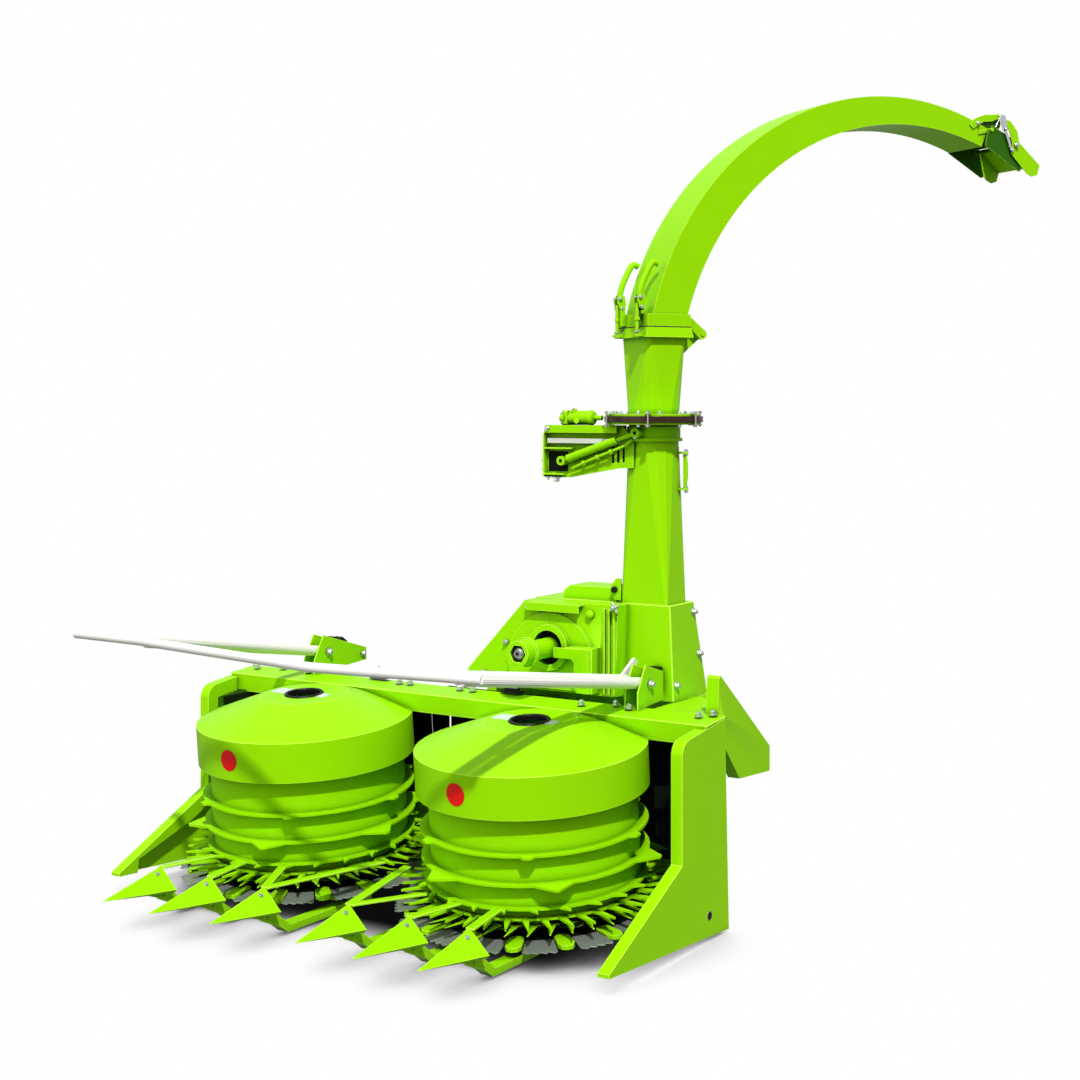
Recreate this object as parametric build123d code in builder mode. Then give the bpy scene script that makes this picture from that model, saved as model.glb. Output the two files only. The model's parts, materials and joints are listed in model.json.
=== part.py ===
"""Tractor-mounted forage harvester: two toothed intake drums over knife discs,
a flywheel chopper behind them, and a turning discharge spout on a tower.

Frame: +X across the machine, -Y towards the standing crop, +Y towards the tractor, +Z up.
The origin is on the ground, under the middle of the header. Millimetres."""
from build123d import *
import os
from math import sin, cos, tan, radians, degrees, atan2, hypot, sqrt

os.makedirs("parts", exist_ok=True)

# ---------------------------------------------------------------- driving dimensions
SHEET = 6.0             # body sheet
THIN = 5.0              # hoods, rims and walls
HALF_WIDTH = 1150.0     # outer face of a side panel
FIT = 0.05              # radial clearance of a running fit
SEAT = 0.3              # clearance of two pieces that only lie against each other
SIDES = (("left", -1), ("right", 1))        # name, sign of x

# header: everything round the drums leans forward by this angle
HEAD_TILT = 5.0
HEAD_Y = 23.0           # where a drum's axis meets the ground
DRUM_X = 540.0          # drum axis from the middle

# crossbeam, in the header's own frame (v rearwards, s along the drum axis)
BEAM_V = 227.0
BEAM_DEPTH = 145.0
BEAM_S = 690.0
BEAM_HEIGHT = 70.0
BEAM_PLATE = 8.0
DECK = 6.0
WALL_R = 570.0          # outer radius of the back wall round a drum
WALL_START = 12.0       # degrees from the machine's side
WALL_END = 115.0
PAN_S = 60.0            # underside of the header pan
PAN_WIDTH = 100.0
TUBE_V = 240.0          # lower cross tube
TUBE_DEPTH = 80.0

# hood
HOOD_R = 430.0
HOOD_SKIRT_S = 534.0
HOOD_RIM_S = 687.0
HOOD_TOP_S = 774.0
HOOD_TOP_R = 175.0
HOOD_HOLE_R = 66.0
HOOD_BACK_S = 640.0

# column, knife disc and drum
COLUMN_R = 45.0
COLUMN_TOP_S = 640.0
HOUSING_R = 125.0
HOUSING_S = (22.0, 84.0)
DISC_S = 98.0           # underside of the knife disc
DISC_T = 6.0
DISC_R = 455.0
BLADE_T = 4.0
BLADE_R = 530.0
BLADES = 16
DRUM_R = 385.0
DRUM_S = (148.0, 600.0)
HUB_R = 80.0

# crop dividers: x of the tip, y of the tip
DIVIDERS = ((195.0, -938.0), (460.0, -965.0), (710.0, -946.0))
TIP_Z = 130.0
DIVIDER_REAR = -660.0
ARM_WIDTH = 50.0
ARM_Z = (10.0, 36.0)
ARM_END = -150.0

# side panel outline: y, z
PANEL = dict(tip=(-498.0, 58.0), bend=(0.0, 315.0), top=(0.0, 742.0), rear_z=783.0,
             rear_y=326.0, rear_low=(357.0, 8.0))
RIM = 46.0
LIP = 58.0

# tower and spout
TOWER = (720.0, 560.0)
BASE_TOP_Z = 1158.0
TUBE_SIZE = (205.0, 155.0)
TUBE_TOP_R = 97.0
FLANGE_Z = 1850.0
COLLAR_Z = FLANGE_Z - 85.0
FLANGE_R = 184.0
FLANGE_T = 8.0
WEAR_T = 24.0
WEAR_R = 192.0
UPPER_TOP_Z = FLANGE_Z + 355.0
SPOUT_YAW = 60.0        # direction of the spout from +X
DUCT_DEPTH = 165.0      # along the spout's direction
DUCT_WIDTH = 210.0
DUCT_WALL = 4.0
# centre out from the tower axis, centre z, radius
ARCH_OUT = (1109.0, UPPER_TOP_Z - 216.0, 1207.0)
ARCH_IN = (1174.0, UPPER_TOP_Z - 246.0, 1127.0)
ARCH_END_OUT = 1585.0
ARCH_END_IN = 1551.0

# tower base: centre x, centre y, size x, size y, at its foot and at its top
BASE_LOW = (731.0, 619.0, 242.0, 278.0)
BASE_HIGH = (729.5, 577.0, 215.0, 194.0)
BASE_FLANGE = 10.0

# chopper
SHAFT_R = 22.0
PTO_Z = 620.0
PTO_R = 17.5
PTO_STUB = 75.0         # bare end that takes the cardan shaft's yoke
PTO_SEAT_R = 24.0

tilt = radians(HEAD_TILT)
HEAD_V = Vector(0, cos(tilt), sin(tilt))
HEAD_S = Vector(0, -sin(tilt), cos(tilt))
yaw = radians(SPOUT_YAW)
SPOUT_D = Vector(cos(yaw), sin(yaw), 0)
SPOUT_P = Vector(-sin(yaw), cos(yaw), 0)


def head_point(x, v, s):
    """A point given in the header's frame."""
    return Vector(x, HEAD_Y, 0) + HEAD_V * v + HEAD_S * s


def head_plane(s, x=0.0, v=0.0):
    """A plane across the drum axis at height s."""
    return Plane(origin=head_point(x, v, s), x_dir=(1, 0, 0), z_dir=HEAD_S)


def head_side(x):
    """A plane across the machine in the header's frame: local x is v, local y is s."""
    return Plane(origin=head_point(x, 0, 0), x_dir=HEAD_V, z_dir=(1, 0, 0))


def side_plane(x):
    """An upright plane across the machine: local x is y, local y is z."""
    return Plane(origin=(x, 0, 0), x_dir=(0, 1, 0), z_dir=(1, 0, 0))


def front_plane(y):
    """An upright plane facing the crop: local x is x, local y is z, normal -Y."""
    return Plane(origin=(0, y, 0), x_dir=(1, 0, 0), z_dir=(0, -1, 0))


def spout_plane(offset_p):
    """An upright plane along the spout: local x is out from the tower axis, local y is z."""
    origin = Vector(TOWER[0], TOWER[1], 0) + SPOUT_P * offset_p
    return Plane(origin=origin, x_dir=SPOUT_D, z_dir=-SPOUT_P)


def duct_corners(size_x, size_y, corner_r, wall=0.0):
    """Outline of a folded duct: a rectangle with three bends round each corner, moved in by the wall."""
    bend = radians(90 / 4)
    reach = (corner_r - wall) / cos(bend / 2)
    points = []
    for corner, side_x, side_y in ((0, 1, 1), (1, -1, 1), (2, -1, -1), (3, 1, -1)):
        for step in (0.5, 1.5, 2.5, 3.5):
            angle = radians(90 * corner) + bend * step
            points.append((side_x * (size_x / 2 - corner_r) + reach * cos(angle),
                           side_y * (size_y / 2 - corner_r) + reach * sin(angle)))
    return points


def save(piece, name):
    """Label a finished piece and write its file."""
    piece.part.label = name
    export_step(piece.part, f"parts/{name}.step")


# ---------------------------------------------------------------- crossbeam
with BuildPart() as crossbeam:
    inner = HALF_WIDTH - SHEET
    top = BEAM_S + BEAM_HEIGHT
    with BuildSketch(head_side(-inner)):
        with Locations((BEAM_V + BEAM_DEPTH / 2, BEAM_S + (BEAM_HEIGHT - BEAM_PLATE) / 2)):
            Rectangle(BEAM_DEPTH, BEAM_HEIGHT - BEAM_PLATE)
            Rectangle(BEAM_DEPTH - 2 * SHEET, BEAM_HEIGHT - BEAM_PLATE - 2 * SHEET, mode=Mode.SUBTRACT)
    extrude(amount=2 * inner)
    with BuildSketch(head_plane(top - BEAM_PLATE, v=BEAM_V + BEAM_DEPTH / 2)):
        Rectangle(2 * HALF_WIDTH, BEAM_DEPTH)
    extrude(amount=BEAM_PLATE)
save(crossbeam, "crossbeam")

# ---------------------------------------------------------------- side panels
PANEL_TIP = PANEL["tip"]
PANEL_CORNERS = (PANEL["rear_low"], PANEL_TIP, (PANEL_TIP[0], PANEL_TIP[1] + 14), PANEL["bend"], PANEL["top"],
                 (PANEL["rear_y"], PANEL["rear_z"]))
CORNER_R = 55.0


def panel_sketch(inset=0.0):
    """The outline of a side panel, with its rounded top corner, moved in by the inset."""
    with BuildSketch(Plane.XY, mode=Mode.PRIVATE) as outline:
        Polygon(*PANEL_CORNERS, align=None)
        corner = outline.vertices().sort_by_distance(Vector(*PANEL["top"], 0))[0]
        fillet(corner, radius=CORNER_R)
        if inset:
            offset(amount=-inset, mode=Mode.REPLACE)
    return outline.sketch


for side_name, side in SIDES:
    with BuildPart() as panel:
        with BuildSketch(side_plane(side * HALF_WIDTH)):
            add(panel_sketch())
        extrude(amount=-side * SHEET)
        with BuildSketch(side_plane(side * (HALF_WIDTH - SHEET))):
            add(panel_sketch())
            add(panel_sketch(THIN), mode=Mode.SUBTRACT)
            Polygon((-488, 40), (150, 200), (183, 900), (500, 900), (500, -100), (-488, -100), align=None,
                    mode=Mode.SUBTRACT)
        extrude(amount=-side * (RIM - SHEET))
        with BuildSketch(side_plane(side * (HALF_WIDTH - RIM))):
            add(panel_sketch())
            add(panel_sketch(LIP), mode=Mode.SUBTRACT)
            Polygon((-400, 40), (-395, 105), (-60, 215), (150, 200), (183, 900), (500, 900), (500, -100),
                    (-400, -100), align=None, mode=Mode.SUBTRACT)
        extrude(amount=side * THIN)
        # under the beam's top plate and clear of the beam's own box
        with BuildSketch(head_side(side * (HALF_WIDTH + 1))):
            with Locations((BEAM_V + 150, BEAM_S + BEAM_HEIGHT - BEAM_PLATE + 50)):
                Rectangle(400, 100)
        extrude(amount=-side * 80, mode=Mode.SUBTRACT)
    save(panel, f"side_panel_{side_name}")

# ---------------------------------------------------------------- hoods
def hood_profile(wall):
    """Corners of the hood's half section, moved in by the wall."""
    slope = (HOOD_TOP_S - HOOD_RIM_S) / (HOOD_R - HOOD_TOP_R)
    low = HOOD_SKIRT_S - (1 if wall else 0)
    return ((0, low), (HOOD_R - wall, low), (HOOD_R - wall, HOOD_RIM_S - wall * (1 - slope)),
            (HOOD_TOP_R - wall, HOOD_TOP_S - wall), (0, HOOD_TOP_S - wall))


for side_name, side in SIDES:
    axis = Axis(head_point(side * DRUM_X, 0, 0), HEAD_S)
    with BuildPart() as hood:
        with BuildSketch(head_side(side * DRUM_X)):
            Polygon(*hood_profile(0), align=None)
        revolve(axis=axis)
        with BuildSketch(head_plane(0, x=side * DRUM_X, v=BEAM_V + 500)):
            Rectangle(2000, 1000)
        extrude(amount=1000, mode=Mode.SUBTRACT)
        with BuildPart(mode=Mode.PRIVATE) as hollow:
            with BuildSketch(head_side(side * DRUM_X)):
                Polygon(*hood_profile(THIN), align=None)
            revolve(axis=axis)
            with BuildSketch(head_plane(0, x=side * DRUM_X, v=BEAM_V - THIN + 500)):
                Rectangle(2000, 1000)
            extrude(amount=1000, mode=Mode.SUBTRACT)
        add(hollow.part, mode=Mode.SUBTRACT)
        # the drum's top runs under the flat back, so the back plate starts above it
        with BuildSketch(head_plane(HOOD_SKIRT_S - 2, x=side * DRUM_X, v=BEAM_V)):
            Rectangle(2 * (HOOD_R - 2 * THIN - 60), 40)
        extrude(amount=HOOD_BACK_S - HOOD_SKIRT_S, mode=Mode.SUBTRACT)
        with BuildSketch(head_plane(HOOD_TOP_S + 10, x=side * DRUM_X)):
            Circle(HOOD_HOLE_R)
        extrude(amount=-40, mode=Mode.SUBTRACT)
    save(hood, f"hood_{side_name}")

# ---------------------------------------------------------------- deck, back walls and cross tube
with BuildPart() as deck:
    with BuildSketch(head_plane(BEAM_S - DECK)):
        with Locations((-DRUM_X, 0), (DRUM_X, 0)):
            Circle(WALL_R)
        with Locations((0, WALL_R / 2 - 5)):
            Rectangle(2 * DRUM_X, WALL_R - 10)
        with Locations((0, -500 + BEAM_V)):
            Rectangle(3000, 1000, mode=Mode.SUBTRACT)
    extrude(amount=DECK)
save(deck, "header_deck")

for side_name, side in SIDES:
    axis = Axis(head_point(side * DRUM_X, 0, 0), HEAD_S)
    start = WALL_START if side > 0 else 180 - WALL_END
    wall_top = BEAM_S - DECK
    with BuildPart() as wall:
        section = Plane(origin=head_point(side * DRUM_X, 0, 0),
                        x_dir=Vector(1, 0, 0) * cos(radians(start)) + HEAD_V * sin(radians(start)),
                        z_dir=Vector(1, 0, 0) * sin(radians(start)) - HEAD_V * cos(radians(start)))
        with BuildSketch(section):
            Polygon((WALL_R, PAN_S), (WALL_R, wall_top), (WALL_R - SHEET, wall_top),
                    (WALL_R - SHEET, PAN_S + SHEET), (WALL_R - PAN_WIDTH, PAN_S + SHEET),
                    (WALL_R - PAN_WIDTH, PAN_S), align=None)
        revolve(axis=axis, revolution_arc=WALL_END - WALL_START)
    save(wall, f"back_wall_{side_name}")

with BuildPart() as cross_tube:
    reach = HALF_WIDTH - SHEET
    with BuildSketch(head_side(-reach)):
        with Locations((TUBE_V + TUBE_DEPTH / 2, PAN_S / 2)):
            Rectangle(TUBE_DEPTH, PAN_S)
            Rectangle(TUBE_DEPTH - 2 * SHEET, PAN_S - 2 * SHEET, mode=Mode.SUBTRACT)
    extrude(amount=2 * reach)
save(cross_tube, "cross_tube")

# ---------------------------------------------------------------- columns with their gear housings and skids
for side_name, side in SIDES:
    axis = Axis(head_point(side * DRUM_X, 0, 0), HEAD_S)
    with BuildPart() as column:
        with BuildSketch(head_plane(HOUSING_S[0], x=side * DRUM_X)):
            Circle(HOUSING_R)
        extrude(amount=HOUSING_S[1] - HOUSING_S[0])
        with BuildSketch(head_plane(HOUSING_S[1] - 1, x=side * DRUM_X)):
            Circle(HUB_R)
        extrude(amount=DISC_S - 5 - SEAT - HOUSING_S[1] + 1)
        # collar that the drum's lower hub rests on
        with BuildSketch(head_plane(DISC_S + 27, x=side * DRUM_X)):
            Circle(58)
        extrude(amount=DRUM_S[0] - 14 - SEAT - DISC_S - 27)
        with BuildSketch(head_plane(HOUSING_S[1] - 1, x=side * DRUM_X)):
            Circle(COLUMN_R)
        extrude(amount=COLUMN_TOP_S - HOUSING_S[1])
        with BuildSketch(head_plane(HOUSING_S[0], x=side * DRUM_X, v=TUBE_V / 2)):
            Rectangle(150, TUBE_V)
        extrude(amount=36)
        # skid under the housing, with turned-up edge
        with BuildSketch(Plane.XY.offset(0)):
            with Locations((side * DRUM_X, HEAD_Y)):
                Circle(150)
        with BuildSketch(Plane.XY.offset(30)):
            with Locations((side * DRUM_X, HEAD_Y)):
                Circle(170)
        loft()
        # bar that carries the divider arms
        with BuildSketch(Plane.XY.offset(ARM_Z[0] - 2)):
            with Locations((side * (DIVIDERS[0][0] + DIVIDERS[2][0]) / 2, ARM_END + 30)):
                Rectangle(DIVIDERS[2][0] - DIVIDERS[0][0] + ARM_WIDTH + 20, 60)
        extrude(amount=ARM_Z[1] - ARM_Z[0] + 4)
    save(column, f"drum_column_{side_name}")

# ---------------------------------------------------------------- knife discs
SPACING = 360.0 / BLADES
# outline of a clamp lobe: out from its middle, across
LOBE = ((-58, -14), (-42, -27), (28, -30), (50, -20), (58, 0), (50, 20), (28, 30), (-42, 27), (-58, 14))
CLAMP_SPAN = 9.0        # degrees taken by a clamp plate


def blade_outline(first, last, notches):
    """A knife segment between two angles: smooth inside, saw-toothed outside."""
    step = (last - first) / notches
    points = []
    for notch in range(notches):
        angle = radians(first + notch * step)
        tooth = radians(first + (notch + 0.72) * step)
        points.append(((BLADE_R - 14) * cos(angle), (BLADE_R - 14) * sin(angle)))
        points.append((BLADE_R * cos(tooth), BLADE_R * sin(tooth)))
    closing = radians(last)
    opening = radians(first)
    points.append(((BLADE_R - 14) * cos(closing), (BLADE_R - 14) * sin(closing)))
    points.append((DISC_R * 0.8 * cos(closing), DISC_R * 0.8 * sin(closing)))
    points.append((DISC_R * 0.8 * cos(opening), DISC_R * 0.8 * sin(opening)))
    return points


for side_name, side in SIDES:
    with BuildPart() as knife_disc:
        with BuildSketch(head_plane(DISC_S, x=side * DRUM_X)):
            Circle(DISC_R)
            with PolarLocations(DISC_R - 15, BLADES):
                Polygon(*LOBE, align=None)
        extrude(amount=DISC_T)
        with BuildSketch(head_plane(DISC_S - 5, x=side * DRUM_X)):
            Circle(HUB_R)
        extrude(amount=30)
        with BuildSketch(head_plane(DISC_S + DISC_T, x=side * DRUM_X)):
            with PolarLocations(DISC_R - 15, BLADES):
                Polygon(*LOBE, align=None)
        extrude(amount=BLADE_T + 5)
        with BuildSketch(head_plane(DISC_S - 6, x=side * DRUM_X)):
            Circle(COLUMN_R + FIT)
        extrude(amount=60, mode=Mode.SUBTRACT)
        with BuildSketch(head_plane(DISC_S - 6, x=side * DRUM_X)):
            with PolarLocations(250, 6, start_angle=30):
                Circle(75)
        extrude(amount=30, mode=Mode.SUBTRACT)
    save(knife_disc, f"knife_disc_{side_name}")

    with BuildPart() as blades:
        with BuildSketch(head_plane(DISC_S + DISC_T, x=side * DRUM_X)):
            for blade in range(BLADES):
                first = blade * SPACING + CLAMP_SPAN / 2
                Polygon(*blade_outline(first, first + SPACING - CLAMP_SPAN, 4), align=None)
            Circle(DISC_R - 45, mode=Mode.SUBTRACT)
        extrude(amount=BLADE_T)
    save(blades, f"knife_blades_{side_name}")

# ---------------------------------------------------------------- intake drums
# s of the underside, ring radius, tooth radius, number of teeth, half width at the root, half width at the tip,
# degrees that the tip leads, degrees of the first tooth
RINGS = ((401.0, 420.0, 442.0, 6, 38.0, 14.0, 0.0, 0.0),
         (297.0, 420.0, 482.0, 6, 78.0, 9.0, 0.0, 12.0),
         (212.0, 412.0, 445.0, 24, 20.0, 2.0, 3.5, 0.0),
         (174.0, 405.0, 500.0, 40, 15.0, 2.0, 2.5, 0.0),
         (148.0, 405.0, 500.0, 40, 15.0, 2.0, -2.5, 4.5))
RING_T = 8.0

for side_name, side in SIDES:
    with BuildPart() as drum:
        with BuildSketch(head_plane(DRUM_S[0], x=side * DRUM_X)):
            Circle(DRUM_R)
            Circle(DRUM_R - THIN, mode=Mode.SUBTRACT)
        extrude(amount=DRUM_S[1] - DRUM_S[0])
        for plate_s in (DRUM_S[0], DRUM_S[1] - THIN):
            with BuildSketch(head_plane(plate_s, x=side * DRUM_X)):
                Circle(DRUM_R)
            extrude(amount=THIN)
        for hub_s in (DRUM_S[0] - 14, DRUM_S[1] - 40):
            with BuildSketch(head_plane(hub_s, x=side * DRUM_X)):
                Circle(HUB_R - 10)
            extrude(amount=40)
        for ring_s, ring_r, tooth_r, teeth, root, tip, lead, first in RINGS:
            with BuildSketch(head_plane(ring_s, x=side * DRUM_X)):
                Circle(ring_r)
                for tooth in range(teeth):
                    point_x = tooth_r * cos(radians(side * lead))
                    point_y = tooth_r * sin(radians(side * lead))
                    with Locations(Location((0, 0, 0), (0, 0, side * first + 360.0 / teeth * tooth))):
                        Polygon((ring_r - 12, -root), (point_x, point_y - tip), (point_x, point_y + tip),
                                (ring_r - 12, root), align=None)
                Circle(DRUM_R - 1, mode=Mode.SUBTRACT)
            extrude(amount=RING_T)
        with BuildSketch(head_plane(DRUM_S[0] - 20, x=side * DRUM_X)):
            Circle(COLUMN_R + FIT)
        extrude(amount=DRUM_S[1] - DRUM_S[0] + 40, mode=Mode.SUBTRACT)
    save(drum, f"drum_{side_name}")

# ---------------------------------------------------------------- dividers with their arms, and guide bars
# section at the rear: half width, z
ROOF = ((-80.0, 117.0), (0.0, 195.0), (80.0, 117.0), (70.0, 105.0), (-70.0, 105.0))
KEEL_T = 30.0
for side_name, side in SIDES:
    with BuildPart() as dividers:
        for tip_x, tip_y in DIVIDERS:
            x = side * tip_x
            for station_y, scale in ((tip_y, 0.04), (DIVIDER_REAR, 1.0)):
                with BuildSketch(front_plane(station_y)):
                    Polygon(*[(x + half * scale, TIP_Z + (height - TIP_Z) * scale) for half, height in ROOF],
                            align=None)
            loft()
            with BuildSketch(side_plane(x - KEEL_T / 2)):
                Polygon((-790, 120), (DIVIDER_REAR, 106), (DIVIDER_REAR, 82), (DIVIDER_REAR - 30, 84), align=None)
            extrude(amount=KEEL_T)
            # arm that carries the divider, running back under the knives
            with BuildSketch(side_plane(x - ARM_WIDTH / 2)):
                Polygon((DIVIDER_REAR, 106), (DIVIDER_REAR, 68), (-600, 40), (-560, ARM_Z[0]), (ARM_END, ARM_Z[0]),
                        (ARM_END, ARM_Z[1]), (-548, ARM_Z[1]), (-600, 76), (-640, 106), align=None)
            extrude(amount=ARM_WIDTH)
    save(dividers, f"dividers_{side_name}")

BAR_T = 8.0
BAR_Z = 186.0
# x where a bar leaves its divider, x and y where it ends over the leaf fingers
BAR_RUNS = ((195.0, 60.0, -150.0),
            (195.0, 330.0, -410.0),
            (460.0, 500.0, -440.0),
            (710.0, 660.0, -425.0))
with BuildPart() as guide_bars:
    for side_name, side in SIDES:
        for start_x, end_x, end_y in BAR_RUNS:
            with BuildSketch(Plane.XY.offset(BAR_Z)):
                Polygon((side * start_x - 18, DIVIDER_REAR), (side * start_x + 18, DIVIDER_REAR),
                        (side * end_x + 18, end_y), (side * end_x - 18, end_y), align=None)
            extrude(amount=BAR_T)
save(guide_bars, "guide_bars")

# ---------------------------------------------------------------- strippers on the back walls
# degrees from the machine's side, and the gaps between rings that the fingers reach into: low s, high s
STRIPPER_ANGLES = (30.0, 88.0)
STRIPPER_S = (130.0, 670.0)
STRIPPER_GAPS = ((234.0, 282.0), (320.0, 386.0), (424.0, 520.0))
with BuildPart() as strippers:
    for side_name, side in SIDES:
        for angle in STRIPPER_ANGLES:
            heading = radians(angle if side > 0 else 180 - angle)
            out = Vector(1, 0, 0) * cos(heading) + HEAD_V * sin(heading)
            across = Vector(1, 0, 0) * sin(heading) - HEAD_V * cos(heading)
            section = Plane(origin=head_point(side * DRUM_X, 0, 0) - across * 5, x_dir=out, z_dir=across)
            with BuildSketch(section):
                with Locations(((WALL_R - SHEET + 512) / 2 - 0.3, (STRIPPER_S[0] + STRIPPER_S[1]) / 2)):
                    Rectangle(WALL_R - SHEET - 512, STRIPPER_S[1] - STRIPPER_S[0])
                for low, high in STRIPPER_GAPS:
                    with Locations((480, (low + high) / 2)):
                        Rectangle(76, high - low - 16)
            extrude(amount=10)
save(strippers, "strippers")

# ---------------------------------------------------------------- feed channel
FEED_HALF = DRUM_X + WALL_R * cos(radians(WALL_END))
CASING_Y = 605.0
CASING_DEPTH = 195.0
with BuildPart() as feed_channel:
    feed_v = WALL_R * sin(radians(WALL_END))
    channel_s = BEAM_S - DECK - PAN_S - SHEET
    with BuildSketch(Plane(origin=head_point(0, feed_v, PAN_S + SHEET + channel_s / 2), x_dir=(-1, 0, 0),
                           z_dir=HEAD_V)):
        Rectangle(2 * FEED_HALF, channel_s)
        Rectangle(2 * FEED_HALF - 2 * SHEET, channel_s - 2 * SHEET, mode=Mode.SUBTRACT)
    extrude(amount=200)
    with BuildSketch(Plane(origin=(0, CASING_Y, 400), x_dir=(-1, 0, 0), z_dir=(0, 1, 0))):
        Rectangle(1000, 1000)
    extrude(amount=400, mode=Mode.SUBTRACT)
save(feed_channel, "feed_channel")

# ---------------------------------------------------------------- chopper housing
SHOULDER_Z = 790.0
CASING_TOP = 1156.0
base_left = (BASE_LOW[0] - BASE_LOW[2] / 2, BASE_HIGH[0] - BASE_HIGH[2] / 2)
base_lean = (base_left[1] - base_left[0]) / (CASING_TOP - SHOULDER_Z)


def beside_tower(height):
    """x of the tower base's left face at a height, where the casing meets it."""
    return base_left[0] + base_lean * (height - SHOULDER_Z)


CASING = ((-55, 520), (-55, 790), (0, 905), (225, CASING_TOP), (beside_tower(CASING_TOP), CASING_TOP),
          (beside_tower(SHOULDER_Z), SHOULDER_Z), (851, SHOULDER_Z), (851, 560), (760, 330), (560, 160),
          (240, 160), (40, 330))
CASING_WALL = 10.0
DRIVE_PLATE_Y = 400.0
UPPER_FRONT = 480.0
INLET = (55.0, 285.0, 345.0, 620.0)        # x, x, z, z
with BuildPart() as chopper_housing:
    rear = CASING_Y + CASING_DEPTH
    with BuildSketch(front_plane(rear)):
        Polygon(*CASING, align=None)
    extrude(amount=CASING_DEPTH)
    # the upper part stands further forward, over the deck
    with BuildSketch(front_plane(CASING_Y)):
        Polygon((-55, SHOULDER_Z), (0, 905), (225, CASING_TOP), (beside_tower(CASING_TOP), CASING_TOP),
                (beside_tower(SHOULDER_Z), SHOULDER_Z), align=None)
    extrude(amount=CASING_Y - UPPER_FRONT)
    with BuildSketch(front_plane(rear - CASING_WALL)):
        Polygon(*CASING, align=None)
        offset(amount=-CASING_WALL, mode=Mode.REPLACE)
        Polygon((-300, 780), (1000, 780), (1000, 1300), (-300, 1300), align=None, mode=Mode.SUBTRACT)
    extrude(amount=CASING_DEPTH - 2 * CASING_WALL, mode=Mode.SUBTRACT)
    with BuildSketch(front_plane(CASING_Y + CASING_WALL + 1)):
        with Locations(((INLET[0] + INLET[1]) / 2, (INLET[2] + INLET[3]) / 2)):
            RectangleRounded(INLET[1] - INLET[0], INLET[3] - INLET[2], 20)
    extrude(amount=CASING_WALL + 5, mode=Mode.SUBTRACT)
    # cover over the blower's outlet bend
    with BuildSketch(front_plane(640)):
        Polygon((350, CASING_TOP), (350, 1190), (380, 1212), (560, 1212), (590, 1190), (590, CASING_TOP),
                align=None)
    extrude(amount=150)
save(chopper_housing, "chopper_housing")

# ---------------------------------------------------------------- header drive housing, in front of the chopper
DRIVE_OUTLINE = ((-53, 802), (-53, 858), (225, CASING_TOP - 4), (653, CASING_TOP), (640, 802))
COVER_R = 200.0
COVER_Z = 910.0
COVER_T = 14.0
SHAFT = (352.0, 975.0)
RING_R = 90.0           # ring round the shaft
RING_BORE = 67.0
RING_Y = 366.0
SLEEVE_R = 39.0
with BuildPart() as drive_housing:
    with BuildSketch(front_plane(UPPER_FRONT)):
        Polygon(*DRIVE_OUTLINE, align=None)
    extrude(amount=UPPER_FRONT - DRIVE_PLATE_Y)
    with BuildSketch(front_plane(DRIVE_PLATE_Y)):
        with Locations((SHAFT[0], COVER_Z)):
            Circle(COVER_R)
        Rectangle(3000, 2 * 812, mode=Mode.SUBTRACT)
    extrude(amount=COVER_T)
    with BuildSketch(front_plane(DRIVE_PLATE_Y)):
        with Locations(SHAFT):
            Circle(RING_R)
    extrude(amount=DRIVE_PLATE_Y - RING_Y)
    with BuildSketch(front_plane(RING_Y - 1)):
        with Locations(SHAFT):
            Circle(RING_BORE)
    extrude(amount=-57, mode=Mode.SUBTRACT)
    with BuildSketch(front_plane(RING_Y - 1)):
        with Locations(SHAFT):
            Circle(SHAFT_R + FIT)
    extrude(amount=-95, mode=Mode.SUBTRACT)
    # ledge over the cover
    with BuildSketch(side_plane(255)):
        Polygon((DRIVE_PLATE_Y, 1150), (DRIVE_PLATE_Y - 42, 1150), (DRIVE_PLATE_Y - 42, 1118),
                (DRIVE_PLATE_Y - 38, 1118), (DRIVE_PLATE_Y - 38, 1144), (DRIVE_PLATE_Y, 1144), align=None)
    extrude(amount=245)
    # guard with a stepped end, right of the shaft
    with BuildSketch(front_plane(DRIVE_PLATE_Y)):
        Polygon((SHAFT[0] + RING_R + 6, 944), (SHAFT[0] + RING_R + 6, 986), (572, 988), (572, 815), (505, 815),
                (494, 850), (494, 930), (480, 944), align=None)
    extrude(amount=60)
    with BuildSketch(front_plane(DRIVE_PLATE_Y - 60)):
        Polygon((400, 944), (400, 984), (560, 986), (560, 815), (505, 815), (494, 850), (494, 930), (480, 944),
                align=None)
    extrude(amount=6)
    # pleats of the sheet beside the tower
    with BuildSketch(front_plane(DRIVE_PLATE_Y)):
        with Locations((596, 975), (618, 975), (640, 975)):
            Rectangle(9, 330)
    extrude(amount=12)
save(drive_housing, "drive_housing")

# y of the rear and front of each step, and its radius
CLUTCH_STEPS = ((DRIVE_PLATE_Y + 40, 156.0, SHAFT_R - 6),
                (DRIVE_PLATE_Y + 40, 412.0, SHAFT_R),
                (414.0, 228.0, SLEEVE_R),
                (228.0, 212.0, 57.0),
                (212.0, 156.0, 49.0))
with BuildPart() as clutch_shaft:
    for start, end, radius in CLUTCH_STEPS:
        with BuildSketch(front_plane(start)):
            with Locations(SHAFT):
                Circle(radius)
        extrude(amount=start - end)
    with BuildSketch(front_plane(184)):
        with Locations(SHAFT):
            RegularPolygon(36, 6)
            Circle(SHAFT_R - 6, mode=Mode.SUBTRACT)
    extrude(amount=40, mode=Mode.SUBTRACT)
save(clutch_shaft, "clutch_shaft")

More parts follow.
